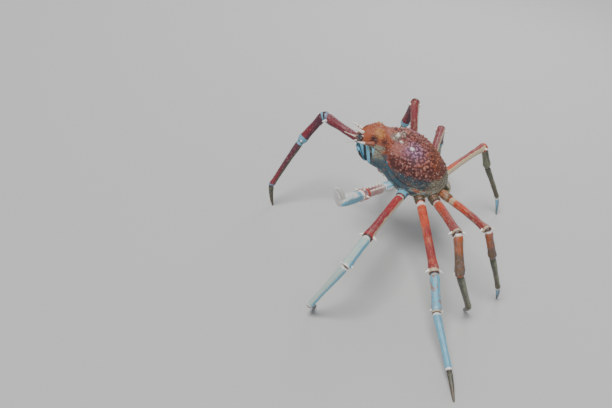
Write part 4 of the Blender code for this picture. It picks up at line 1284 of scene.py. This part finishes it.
def abdomen_piece(shell):
    """The folded tail: a flattened strip whose rings follow its midline, grooved between segments."""
    piece = Piece("abdomen_fine")
    count = len(ABDOMEN_STATIONS)
    table = [(i / (count - 1), *row) for i, row in enumerate(ABDOMEN_STATIONS)]
    t = np.linspace(0, 1, 120)
    middle = np.stack([0 * t, smooth_curve(table, t, 1), smooth_curve(table, t, 2)], -1) * SHELL_LENGTH
    along = unit(np.gradient(middle, axis=0))
    out = np.stack([0 * t, -along[:, 2], along[:, 1]], -1)
    half = smooth_curve(table, t, 3) * SHELL_LENGTH
    turn = np.linspace(0, 2 * np.pi, 48, endpoint=False)
    groove = sum(hump(t, place, 0.010) for place in np.linspace(0.14, 0.86, 6))
    scallop = 1 - 0.035 * groove
    wide = (half * scallop)[:, None] * (np.sign(np.cos(turn)) * np.abs(np.cos(turn)) ** 0.7)[None]
    thick = ABDOMEN_THICKNESS / 2 * SHELL_LENGTH * np.sin(turn)[None] * (1 - 0.10 * groove)[:, None]
    ridge = TAIL_RIDGE * hump(np.cos(turn), 0.0, 0.18) * np.sign(np.sin(turn))
    grid = middle[:, None] + wide[..., None] * np.array([1.0, 0, 0])
    grid = grid + out[:, None] * (thick + ridge)[..., None]
    grid = rounded_ends(grid, 0.003, 0.003, 4)
    grains = knobs(grid, *TAIL_GRAINS)
    place = grid / SHELL_LENGTH
    grid = grid + grid_normals(grid) * (grains * TAIL_GRAIN_HEIGHT)[..., None]
    shade = np.concatenate([np.zeros(4), groove, np.zeros(4)])[:, None]
    piece.add(body_place(grid), place, knob=0.35 + 0.6 * grains - 0.35 * shade)
    piece.finish(underside_finish(shell), ["abdomen"], "abdomen")


def ball_grid(centre, radii, rows, columns):
    """An ellipsoid: circles whose radius is the sine of the angle from its upper pole."""
    angle = np.linspace(0.08, np.pi - 0.08, rows)[:, None]
    turn = np.linspace(0, 2 * np.pi, columns, endpoint=False)[None]
    ball = np.stack([np.sin(angle) * np.cos(turn), np.sin(angle) * np.sin(turn), np.cos(angle) + 0 * turn], -1)
    return np.asarray(centre) + ball * np.asarray(radii)


def eye_pieces():
    """Each eye: a glossy ellipsoid on a short stalk that comes out of the head."""
    material = eye_finish()
    for name, side in (("left", 1), ("right", -1)):
        piece = Piece(f"{name}_eye_fine")
        centre = np.array(EYE_MIDDLE) * (side, 1, 1)
        piece.add(body_place(ball_grid(centre, EYE_RADII, 30, 40)))
        root = centre + np.array(STALK_ROOT) * (side, 1, 1)
        root, tip = body_place(root), body_place(centre)
        piece.thorn(root, tip, STALK_RADIUS, 0.8, rows=10, columns=20, skin=1.0, spur=0.0)
        piece.finish(material, [f"{name}_eye"], f"{name}_eye")


def antenna_pieces(limbs):
    """Each feeler: circles along its bent line, thick and jointed at the root, then thin."""
    white, cream = limbs.white_colour, limbs.cream_colour
    material = limb_finish("feeler_finish", limbs, white, cream, white, white, cream)
    for name, side in (("left", 1), ("right", -1)):
        piece = Piece(f"{name}_antenna_fine")
        t = np.linspace(0, 1, 130)
        root = np.array(FEELER_ROOT) * (side, 1, 1)
        bent = np.stack([side * (0.016 * t + 0.008 * t * t), -0.036 * t, -0.0035 * t], -1)
        radius = FEELER_RADIUS * (1 - t) ** 2.2 + FEELER_TIP_RADIUS
        for joint in FEELER_JOINTS:
            radius = radius * (1 - 0.22 * hump(t, joint, 0.012))
        radius = radius * (1 + 0.05 * np.sin(t * 150) * step_between(0.45, 0.5, t))
        turn = np.linspace(0, 2 * np.pi, 16, endpoint=False)
        circle = np.stack([np.cos(turn), 0 * turn, np.sin(turn)], -1)
        grid = (root + bent)[:, None] + radius[:, None, None] * circle[None]
        grid = rounded_ends(grid, 0.0004, 0.0006, 3)
        piece.add(body_place(grid), along=0.5, pale=-0.3)
        piece.finish(material, [f"{name}_antenna"], f"{name}_antenna")


def mouth_pieces(shell):
    """Each side's mouth parts: the broad plate of the CAD with ribs along it, a narrow plate
    beside it, and three curved feeding palps over them."""
    material = mouth_finish(shell)
    for name, side in (("left", 1), ("right", -1)):
        piece = Piece(f"{name}_maxilliped_fine")
        t = np.linspace(0, 1, 70)
        turn = np.linspace(0, 2 * np.pi, 64, endpoint=False)

        def plate(offset, wide, thick, low, high):
            swell = np.sin(np.pi * (0.12 + 0.80 * t)) ** 0.6
            place = low + (high - low) * t
            x, y = side * (0.0093 + offset) + 0 * t, -0.1365 + 0.0050 * place + 0.0220 * place**2
            middle = np.stack([x, y, 0.0290 - 0.0340 * place], -1)
            joint = hump(t, 0.38, 0.016)
            ribs = 1 + 0.10 * np.cos(turn * 12)[None] * np.abs(np.sin(turn))[None]
            x = (wide * swell * (1 - 0.06 * joint))[:, None] * np.cos(turn)[None]
            y = (thick * swell * (1 - 0.25 * joint))[:, None] * np.sin(turn)[None] * ribs
            grid = middle[:, None] + np.stack([x, y, 0 * x], -1)
            grid = rounded_ends(grid, 0.0010, 0.0010, 4)
            shade = np.concatenate([np.zeros(4), joint, np.zeros(4)])[:, None]
            piece.add(body_place(grid), grid / SHELL_LENGTH, knob=0.5 - 0.5 * shade)

        for sizes in MOUTH_PLATES:
            plate(*sizes)
        for offset, reach in PALPS:
            root = np.array((side * (0.0040 + offset), -0.1385, 0.0270))
            tip = root + np.array((side * -0.0015, 0.0020, -reach))
            middle = np.broadcast_to(root / SHELL_LENGTH, (*PALP_GRID, 3))
            ends, bend = (body_place(root), body_place(tip)), (0, -0.10, 0)
            masks = {"place": middle, "knob": 0.5, "spur": 0.0}
            piece.thorn(*ends, PALP_RADIUS, 0.5, bend, *PALP_GRID, **masks)
        piece.finish(material, [f"{name}_maxilliped"], f"{name}_maxilliped")


# A limb's looks: colours of its top, under side (real pale, or painted shade where darker
# than the top), near end and far ring, how far the near end reaches, how mottled it is, how
# dark its far end, and where its under side begins
LIMB_LOOKS = {
    "lavender_base": ("ice", "lavender", "stain", "olive", 0.10, 0.45, 0.0, 0.2),
    "brown_base": ("olive", "stain", "stain", "olive", 0.15, 0.25, 0.0, 0.20),
    "mottled_base": ("stain", "cream", "olive", "stain", 0.20, 0.50, 0.0, 0.1),
    # The dark base, maroon merus, dark merus, dark carpus and dark propodus go on the far legs and the right
    # claw, and are darkened as painted shade
    "dark_base": ("maroon", "olive", "olive", "olive", 0.10, 0.30, 0.0, 0.0),
    "pink_merus": ("pink", "cream", "white", "pink", 0.07, 0.08, 0.0, 0.18),
    "red_merus": ("red", "cream", "white", "cream", 0.09, 0.12, 0.0, 0.34),
    "mottled_merus": ("red", "cream", "cream", "cream", 0.18, 0.30, 0.0, 0.30),
    "bright_merus": ("red", "cream", "white", "red", 0.05, 0.10, 0.0, -0.38),
    "maroon_merus": ("maroon", "cream", "maroon", "maroon", 0.03, 0.08, 0.0, 0.02),
    "dark_merus": ("dusk", "dusk", "lavender", "lavender", 0.05, 0.10, 0.0, 0.0),
    # The blue under sides of the white carpus, frost and pale propodus and claw palm are painted shade under
    # blue light
    "white_carpus": ("frost", "ice", "white", "white", 0.10, 0.30, 0.0, -0.10),
    "mottled_carpus": ("ice", "stain", "cream", "cream", 0.05, 0.75, 0.0, 0.50),
    "brown_carpus": ("stain", "lavender", "white", "stain", 0.07, 0.15, 0.0, 0.45),
    "dark_carpus": ("dusk", "dusk", "ice", "ice", 0.07, 0.15, 0.0, 0.0),
    "rust_carpus": ("khaki", "olive", "red", "cream", 0.12, 0.30, 0.0, 0.35),
    "frost_propodus": ("frost", "ice", "white", "white", 0.05, 0.25, 0.0, 0.0),
    "pale_propodus": ("ice", "lavender", "white", "white", 0.05, 0.30, 0.0, 0.15),
    "olive_propodus": ("olive", "khaki", "olive", "khaki", 0.05, 0.25, 0.0, 0.35),
    "dark_propodus": ("dusk", "olive", "ice", "lavender", 0.05, 0.20, 0.0, 0.1),
    "pale_dactyl": ("ice", "lavender", "white", "white", 0.10, 0.20, 0.60, 0.2),
    "olive_dactyl": ("olive", "olive", "olive", "olive", 0.10, 0.25, 0.80, 0.2),
    "claw_base": ("ice", "white", "ice", "white", 0.20, 0.35, 0.0, 0.2),
    "claw_merus": ("claw", "claw", "white", "red", 0.22, 0.30, 0.0, 0.0),
    "claw_carpus": ("lavender", "claw", "red", "white", 0.30, 0.45, 0.0, 0.2),
    "claw_palm": ("white", "ice", "ice", "claw", 0.36, 0.25, 0.0, 0.30),
}

# The colour of the clouds on a top colour, which is crimson on those that aren't here
CLOUDS = {
    "ice": "ice", "frost": "frost", "lavender": "stain", "white": "white",
    "khaki": "khaki", "olive": "tip", "stain": "olive",
}

# Looks of each leg's segments; the first three right legs, on the far side, take maroon and
# dusk looks darkened as painted shade
LEG_LOOKS = {
    ("left", 1): ("lavender_base", "pink_merus", "white_carpus", "frost_propodus", "pale_dactyl"),
    ("left", 2): ("brown_base", "red_merus", "mottled_carpus", "pale_propodus", "olive_dactyl"),
    ("left", 3): ("brown_base", "red_merus", "brown_carpus", "olive_propodus", "olive_dactyl"),
    ("left", 4): ("mottled_base", "mottled_merus", "brown_carpus", "olive_propodus", "pale_dactyl"),
    ("right", 1): ("dark_base", "dark_merus", "dark_carpus", "dark_propodus", "olive_dactyl"),
    ("right", 2): ("dark_base", "maroon_merus", "dark_carpus", "olive_propodus", "olive_dactyl"),
    ("right", 3): ("brown_base", "maroon_merus", "dark_carpus", "olive_propodus", "olive_dactyl"),
    ("right", 4): ("mottled_base", "bright_merus", "rust_carpus", "olive_propodus", "pale_dactyl"),
}

# Leg segments: name, radius, profile, rows and columns of the grid, bow
LEG_SEGMENTS = (
    ("base", None, BASE_PROFILE, 44, 60, 0.0),
    ("merus", MERUS_RADIUS, MERUS_PROFILE, 170, 60, 0.012),
    ("carpus", CARPUS_RADIUS, CARPUS_PROFILE, 84, 60, 0.010),
    ("propodus", PROPODUS_RADIUS, PROPODUS_PROFILE, 120, 48, 0.008),
    ("dactyl", DACTYL_RADIUS, DACTYL_PROFILE, 72, 40, 0.030),
)
# The right claw's dark base and merus are painted shade, where it lies under the head
CLAW_LOOKS = {
    "left": ("claw_base", "claw_merus", "claw_carpus", "claw_palm"),
    "right": ("dark_base", "dark_merus", "claw_carpus", "claw_palm"),
}
CLAW_SEGMENTS = (
    ("base", HIP_RADIUS["claw"], BASE_PROFILE, 44, 60),
    ("merus", CLAW_MERUS_RADIUS, MERUS_PROFILE, 120, 64),
    ("carpus", CLAW_CARPUS_RADIUS, CARPUS_PROFILE, 48, 64),
    ("palm", PALM_RADIUS, PALM_PROFILE, 90, 68),
)
FINGER_PROFILE = ((0.0, 0.95), (0.12, 1.05), (0.40, 0.86), (0.70, 0.60), (0.90, 0.36), (1.0, 0.16))


def limb_material(limbs, look):
    """The finish of one look, made once and shared."""
    name = f"{look}_finish"
    if name in bpy.data.materials:
        return bpy.data.materials[name]
    *names, reach, mottle, far_dark, edge = LIMB_LOOKS[look]
    names.append(CLOUDS.get(names[0], "deep"))
    colours = [getattr(limbs, f"{colour}_colour") for colour in names]
    ring_start = WIDE_RINGS.get(look, RING_START)
    return limb_finish(name, limbs, *colours, reach, mottle, far_dark, edge, ring_start)


def add_limb_surface(piece, limbs, grid, along, streak, salt, ribs=8, fade=0.02):
    """Add a limb's grid with low ribs, a cosine round it, and granules, both faded at its ends."""
    kept = step_between(0.0, fade, along) * step_between(1.0, 1 - fade, along)
    turn = 2 * np.pi * np.arange(grid.shape[1]) / grid.shape[1]
    ribbing = np.cos(ribs * turn)[None] * limbs.rib_height
    grains = knobs(grid, *LIMB_GRAINS, salt)
    swell = (value_noise(grid, LIMB_SWELL_PITCH, salt + 3) - 0.5) * LIMB_SWELL_HEIGHT
    height = (ribbing + swell + grains * limbs.granule_height) * kept
    normals = grid_normals(grid)
    grid = grid + normals * height[..., None]
    grid[..., 2] = np.maximum(grid[..., 2], 0.0)
    piece.add(grid, streak, along=along, pale=normals @ UNDER_AND_SHADED_SIDE, knob=grains)


def add_joint_ball(piece, chain, index, radius):
    """Add the rounded knob that a segment turns on, with skin on its side to the segment before."""
    angle = np.linspace(0.1, np.pi - 0.1, 20)[:, None]
    turn = np.linspace(0, 2 * np.pi, 32, endpoint=False)[None]
    along, side, up = chain.along[index], chain.side[index], chain.up[index]
    around = np.cos(turn)[..., None] * side + np.sin(turn)[..., None] * up
    ways = np.sin(angle)[..., None] * around + np.cos(angle)[..., None] * along
    grid = chain.points[index] - MIDDLE + ways * radius
    skin = step_between(0.10, 0.45, ways @ -along)
    piece.add(grid, ways * radius, along=0.4, pale=ways @ UNDER_AND_SHADED_SIDE, skin=skin)


def add_joint_spurs(piece, chain, index, radius, place, reach):
    """Add the white spurs at both sides of a segment's far end."""
    start, end = chain.points[index] - MIDDLE, chain.points[index + 1] - MIDDLE
    along, side = chain.along[index], chain.side[index]
    for turn in (-1, 1):
        foot = start + (end - start) * place
        root = foot + side * turn * radius * 0.35 - along * radius * 0.2
        tip = foot + side * turn * (radius + reach) + along * reach * 0.75
        piece.thorn(root, tip, radius * 0.50, 0.14, chain.up[index] * 0.06, 18, 18, along=0.5, pale=-0.5)


def leg_pieces(limbs, side_name, pair):
    """The five segments of one walking leg: each a profile carried along its bowed axis."""
    chain = Chain(leg_points(side_name, pair), foot=True)
    scale = PAIR_SCALE[pair]
    for index, (segment, radius, profile, rows, columns, bow) in enumerate(LEG_SEGMENTS):
        radius = HIP_RADIUS[pair] if radius is None else radius * scale
        node = f"{side_name}_leg_{pair}_{segment}"
        piece = Piece(f"{node}_fine")
        end_gap = 0.0 if segment == "dactyl" else GAP / 2
        grid, along, streak = chain.segment(index, radius, profile, rows, columns, bow, end_gap)
        add_limb_surface(piece, limbs, grid, along, streak, salt=51 + 7 * index + pair)
        if index:
            add_joint_ball(piece, chain, index, radius * 0.86)
        if segment == "merus":
            add_joint_spurs(piece, chain, 1, radius, 0.935, 0.0115)
        if segment == "carpus":
            add_joint_spurs(piece, chain, 2, radius, 0.90, 0.0055)
        piece.finish(limb_material(limbs, LEG_LOOKS[(side_name, pair)][index]), [node], node)


def add_claw_spines(piece, chain, index):
    """Add the CAD's rows of white spines to the claw leg's merus or carpus."""
    start, end = chain.points[index] - MIDDLE, chain.points[index + 1] - MIDDLE
    along, side, up = chain.along[index], chain.side[index], chain.up[index]

    def spine(angle, place, radius, root, reach, forward, width):
        out = side * math.cos(math.radians(angle)) + up * math.sin(math.radians(angle))
        foot = start + (end - start) * place
        tip = foot + out * (radius + reach) + along * forward
        piece.thorn(foot + out * radius * root, tip, width, 0.14, rows=12, columns=14, along=0.5, pale=-0.5)

    if index == 1:
        for row, angle in enumerate((60, 120, -90)):
            for step in range(5):
                spine(angle, 0.16 + 0.17 * step + 0.03 * row, CLAW_MERUS_RADIUS, 0.45, 0.006, 0.003, 0.0036)
    else:
        for angle in (90, 20, 160, -90):
            spine(angle, 0.60, CLAW_CARPUS_RADIUS, 0.40, 0.010, 0.004, 0.0046)


def add_finger(piece, root, along, offset, radius, other):
    """Add one finger: circles along a line that starts beside the claw's axis and bends back to it,
    with blunt teeth on the side that faces the other finger."""
    out = unit(offset)
    side = np.cross(along, out)
    t = np.linspace(0, 1, 90)
    sway = offset * (1 - 0.78 * t[:, None] ** 1.5) + out * 0.0045 * np.sin(np.pi * t)[:, None]
    middle = root + along * FINGER_LENGTH * t[:, None] + sway - MIDDLE
    width = radius * smooth_curve(FINGER_PROFILE, t)
    turn = 2 * np.pi * np.arange(36) / 36
    circle = np.cos(turn)[:, None] * out + np.sin(turn)[:, None] * side
    grid = middle[:, None] + width[:, None, None] * circle[None]
    grid = rounded_ends(grid, 0.001, 0.0008, 3)
    place = np.concatenate([np.full(3, 0.3), 0.3 + 0.55 * t, np.full(3, 0.85)])[:, None]
    piece.add(grid, along=place, pale=-0.2)
    for step in range(other):
        index = 14 + int(step * 60 / other)
        root_point = middle[index] - out * width[index] * 0.55
        tip = middle[index] - out * (width[index] + 0.0011) + along * 0.0004
        piece.thorn(root_point, tip, 0.0018, 0.5, rows=7, columns=10, along=0.5, pale=-0.2, spur=1.0)


def claw_pieces(limbs, side_name):
    """A claw leg: base, merus, carpus, palm with its fixed finger, and the moving finger."""
    chain = Chain(claw_points(side_name))
    way = heading_vector(1 if side_name == "left" else -1, *CLAW_POSE[side_name]["finger"])
    end, along, up = chain.points[-1], chain.along[-1], chain.up[-1]
    looks = CLAW_LOOKS[side_name]
    for index, (segment, radius, profile, rows, columns) in enumerate(CLAW_SEGMENTS):
        node = f"{side_name}_claw_{segment}"
        shown = 0.93 if segment == "palm" else 1.0
        piece = Piece(f"{node}_fine")
        grid, place, streak = chain.segment(index, radius, profile, rows, columns)
        add_limb_surface(piece, limbs, grid, place * shown, streak, salt=81 + 5 * index)
        if index:
            add_joint_ball(piece, chain, index, radius * 0.84)
        if segment in ("merus", "carpus"):
            add_claw_spines(piece, chain, index)
        if segment == "palm":
            add_finger(piece, end - along * 0.006, way, up * -FINGER_OFFSET, FINGER_RADIUS * 1.05, 8)
        piece.finish(limb_material(limbs, looks[index]), [node], node)
    node = f"{side_name}_claw_finger"
    piece = Piece(f"{node}_fine")
    add_finger(piece, end - along * 0.004, way, up * FINGER_OFFSET, FINGER_RADIUS, 8)
    piece.finish(limb_material(limbs, "claw_palm"), [node], node)


# The camera: its turn round the crab, height over it and roll in degrees, its focal length in
# pixels, and its distance, offsets and aim's height in shell lengths
CAMERA_AZIMUTH = 83.78
CAMERA_ELEVATION = 30.75
CAMERA_ROLL = 10.29
CAMERA_FOCAL = 957.64
CAMERA_DISTANCE = 9.76
CAMERA_OFFSET = (101.39, -39.09)
CAMERA_AIM_HEIGHT = 1.00665
IMAGE_WIDTH = 612
SENSOR_WIDTH = 36.0


def add_camera():
    """The camera at the photograph's angle."""
    turn, rise, roll = (math.radians(a) for a in (CAMERA_AZIMUTH, CAMERA_ELEVATION, CAMERA_ROLL))
    back = np.array([math.sin(turn) * math.cos(rise), -math.cos(turn) * math.cos(rise), math.sin(rise)])
    right = unit(np.cross(-back, UP))
    up = np.cross(right, -back)
    across = math.cos(roll) * right + math.sin(roll) * up
    above = -math.sin(roll) * right + math.cos(roll) * up
    offset = [length * CAMERA_DISTANCE / CAMERA_FOCAL for length in CAMERA_OFFSET]
    place = np.array([0, 0, CAMERA_AIM_HEIGHT]) + back * CAMERA_DISTANCE
    place = place - across * offset[0] + above * offset[1]
    place = place * SHELL_LENGTH - MIDDLE
    matrix = Matrix.Identity(4)
    for column, axis in enumerate((across, above, back, place)):
        for row in range(3):
            matrix[row][column] = axis[row]
    data = bpy.data.cameras.new("photo_camera")
    data.sensor_fit = "HORIZONTAL"
    data.sensor_width = SENSOR_WIDTH
    data.lens = CAMERA_FOCAL * SENSOR_WIDTH / IMAGE_WIDTH
    data.clip_end = 60.0
    camera = bpy.data.objects.new("photo_camera", data)
    camera.matrix_world = matrix
    bpy.context.scene.collection.objects.link(camera)
    bpy.context.scene.camera = camera


def add_lamp(name, place, aim, size, power, colour, kind="AREA"):
    """A soft lamp of a size in metres that faces a point, or an even light from its direction,
    whose size is an angle in radians."""
    back = unit(np.array(place, float) - aim)
    right = unit(np.cross(UP + 0.001, back))
    up = np.cross(back, right)
    matrix = Matrix.Identity(4)
    for column, axis in enumerate((right, up, back, place)):
        for row in range(3):
            matrix[row][column] = axis[row]
    data = bpy.data.lights.new(name, kind)
    if kind == "AREA":
        data.shape = "DISK"
        data.size = size
    else:
        data.angle = size
    data.energy = power
    data.color = colour
    lamp = bpy.data.objects.new(name, data)
    lamp.matrix_world = matrix
    bpy.context.scene.collection.objects.link(lamp)


def add_floor(stage):
    """The plain pale floor at height 0."""
    half = stage.floor_size
    corners = np.array([(-1, -1, 0), (1, -1, 0), (1, 1, 0), (-1, 1, 0)], float) * half
    mesh = bpy.data.meshes.new("pale_floor")
    mesh.from_pydata(corners.tolist(), [], [(0, 1, 2, 3)])
    material = bpy.data.materials.new("pale_floor_finish")
    material.use_nodes = True
    shader = material.node_tree.nodes["Principled BSDF"]
    shader.inputs["Base Color"].default_value = (*stage.floor_colour, 1.0)
    shader.inputs["Roughness"].default_value = 0.75
    shader.inputs["Specular IOR Level"].default_value = 0.2
    mesh.materials.append(material)
    floor = bpy.data.objects.new("pale_floor", mesh)
    bpy.context.scene.collection.objects.link(floor)


def add_world(stage):
    """Even light from all round."""
    world = bpy.data.worlds.new("studio_light")
    world.use_nodes = True
    background = world.node_tree.nodes["Background"]
    background.inputs["Color"].default_value = (*stage.world_colour, 1.0)
    background.inputs["Strength"].default_value = stage.world_strength
    bpy.context.scene.world = world


class CrabShellOperator(bpy.types.Operator):
    """Make the shell with its knobs, spines and horns."""

    bl_idname = "crab.shell"
    bl_label = "Make the shell"

    def execute(self, context):
        carapace_piece(settings_of(context)[0])
        return {"FINISHED"}


class CrabUndersideOperator(bpy.types.Operator):
    """Make the body under the shell and the folded tail."""

    bl_idname = "crab.underside"
    bl_label = "Make the underside"

    def execute(self, context):
        underbody_piece(settings_of(context)[0])
        abdomen_piece(settings_of(context)[0])
        return {"FINISHED"}


class CrabHeadOperator(bpy.types.Operator):
    """Make the eyes, the feelers and the mouth plates."""

    bl_idname = "crab.head"
    bl_label = "Make the head's parts"

    def execute(self, context):
        shell, limbs, _ = settings_of(context)
        eye_pieces()
        antenna_pieces(limbs)
        mouth_pieces(shell)
        return {"FINISHED"}


class CrabLegsOperator(bpy.types.Operator):
    """Make the eight walking legs."""

    bl_idname = "crab.legs"
    bl_label = "Make the walking legs"

    def execute(self, context):
        limbs = settings_of(context)[1]
        for side_name, pair in LEG_POSE:
            leg_pieces(limbs, side_name, pair)
        return {"FINISHED"}


class CrabClawsOperator(bpy.types.Operator):
    """Make the two claw legs."""

    bl_idname = "crab.claws"
    bl_label = "Make the claw legs"

    def execute(self, context):
        limbs = settings_of(context)[1]
        for side_name in CLAW_POSE:
            claw_pieces(limbs, side_name)
        return {"FINISHED"}


class CrabStageOperator(bpy.types.Operator):
    """Make the floor, the lights and the camera."""

    bl_idname = "crab.stage"
    bl_label = "Make the stage"

    def execute(self, context):
        stage = settings_of(context)[2]
        add_floor(stage)
        add_world(stage)
        add_camera()
        add_lamp("key_lamp", (0.9, -0.7, 2.4), (0, 0, 0.2), 0.45, stage.key_power, (1.0, 0.99, 0.97), "SUN")
        add_lamp("fill_lamp", (2.6, 0.9, 1.3), (0, 0, 0.2), 1.6, stage.fill_power, (0.93, 0.96, 1.0))
        add_lamp("rim_lamp", (-2.2, 0.6, 1.7), (0, 0, 0.25), 1.4, stage.rim_power, (0.95, 0.97, 1.0))
        return {"FINISHED"}


OPERATORS = (
    CrabShellOperator,
    CrabUndersideOperator,
    CrabHeadOperator,
    CrabLegsOperator,
    CrabClawsOperator,
    CrabStageOperator,
)
SETTINGS = {
    "crab_shell": CrabShellSettings,
    "crab_limbs": CrabLimbSettings,
    "crab_stage": CrabStageSettings,
}


class CrabPanel(bpy.types.Panel):
    """Lists the crab's operators and its settings in the sidebar."""

    bl_idname = "VIEW3D_PT_crab_looks"
    bl_label = "Spider crab"
    bl_space_type = "VIEW_3D"
    bl_region_type = "UI"
    bl_category = "Crab"

    def draw(self, context):
        for operator in OPERATORS:
            self.layout.operator(operator.bl_idname)
        for name, group in SETTINGS.items():
            box = self.layout.box()
            box.label(text=group.__doc__)
            for setting in group.__annotations__:
                box.prop(getattr(context.scene, name), setting)


def register():
    """Register the settings, the operators and the panel."""
    for group in SETTINGS.values():
        bpy.utils.register_class(group)
    for made in (*OPERATORS, CrabPanel):
        bpy.utils.register_class(made)
    for name, group in SETTINGS.items():
        setattr(bpy.types.Scene, name, PointerProperty(type=group))


def unregister():
    """Undo what register does."""
    for name in SETTINGS:
        delattr(bpy.types.Scene, name)
    for made in (CrabPanel, *reversed(OPERATORS), *SETTINGS.values()):
        bpy.utils.unregister_class(made)


def main():
    register()
    for operator in OPERATORS:
        group, name = operator.bl_idname.split(".")
        getattr(getattr(bpy.ops, group), name)()


if __name__ == "__main__":
    main()
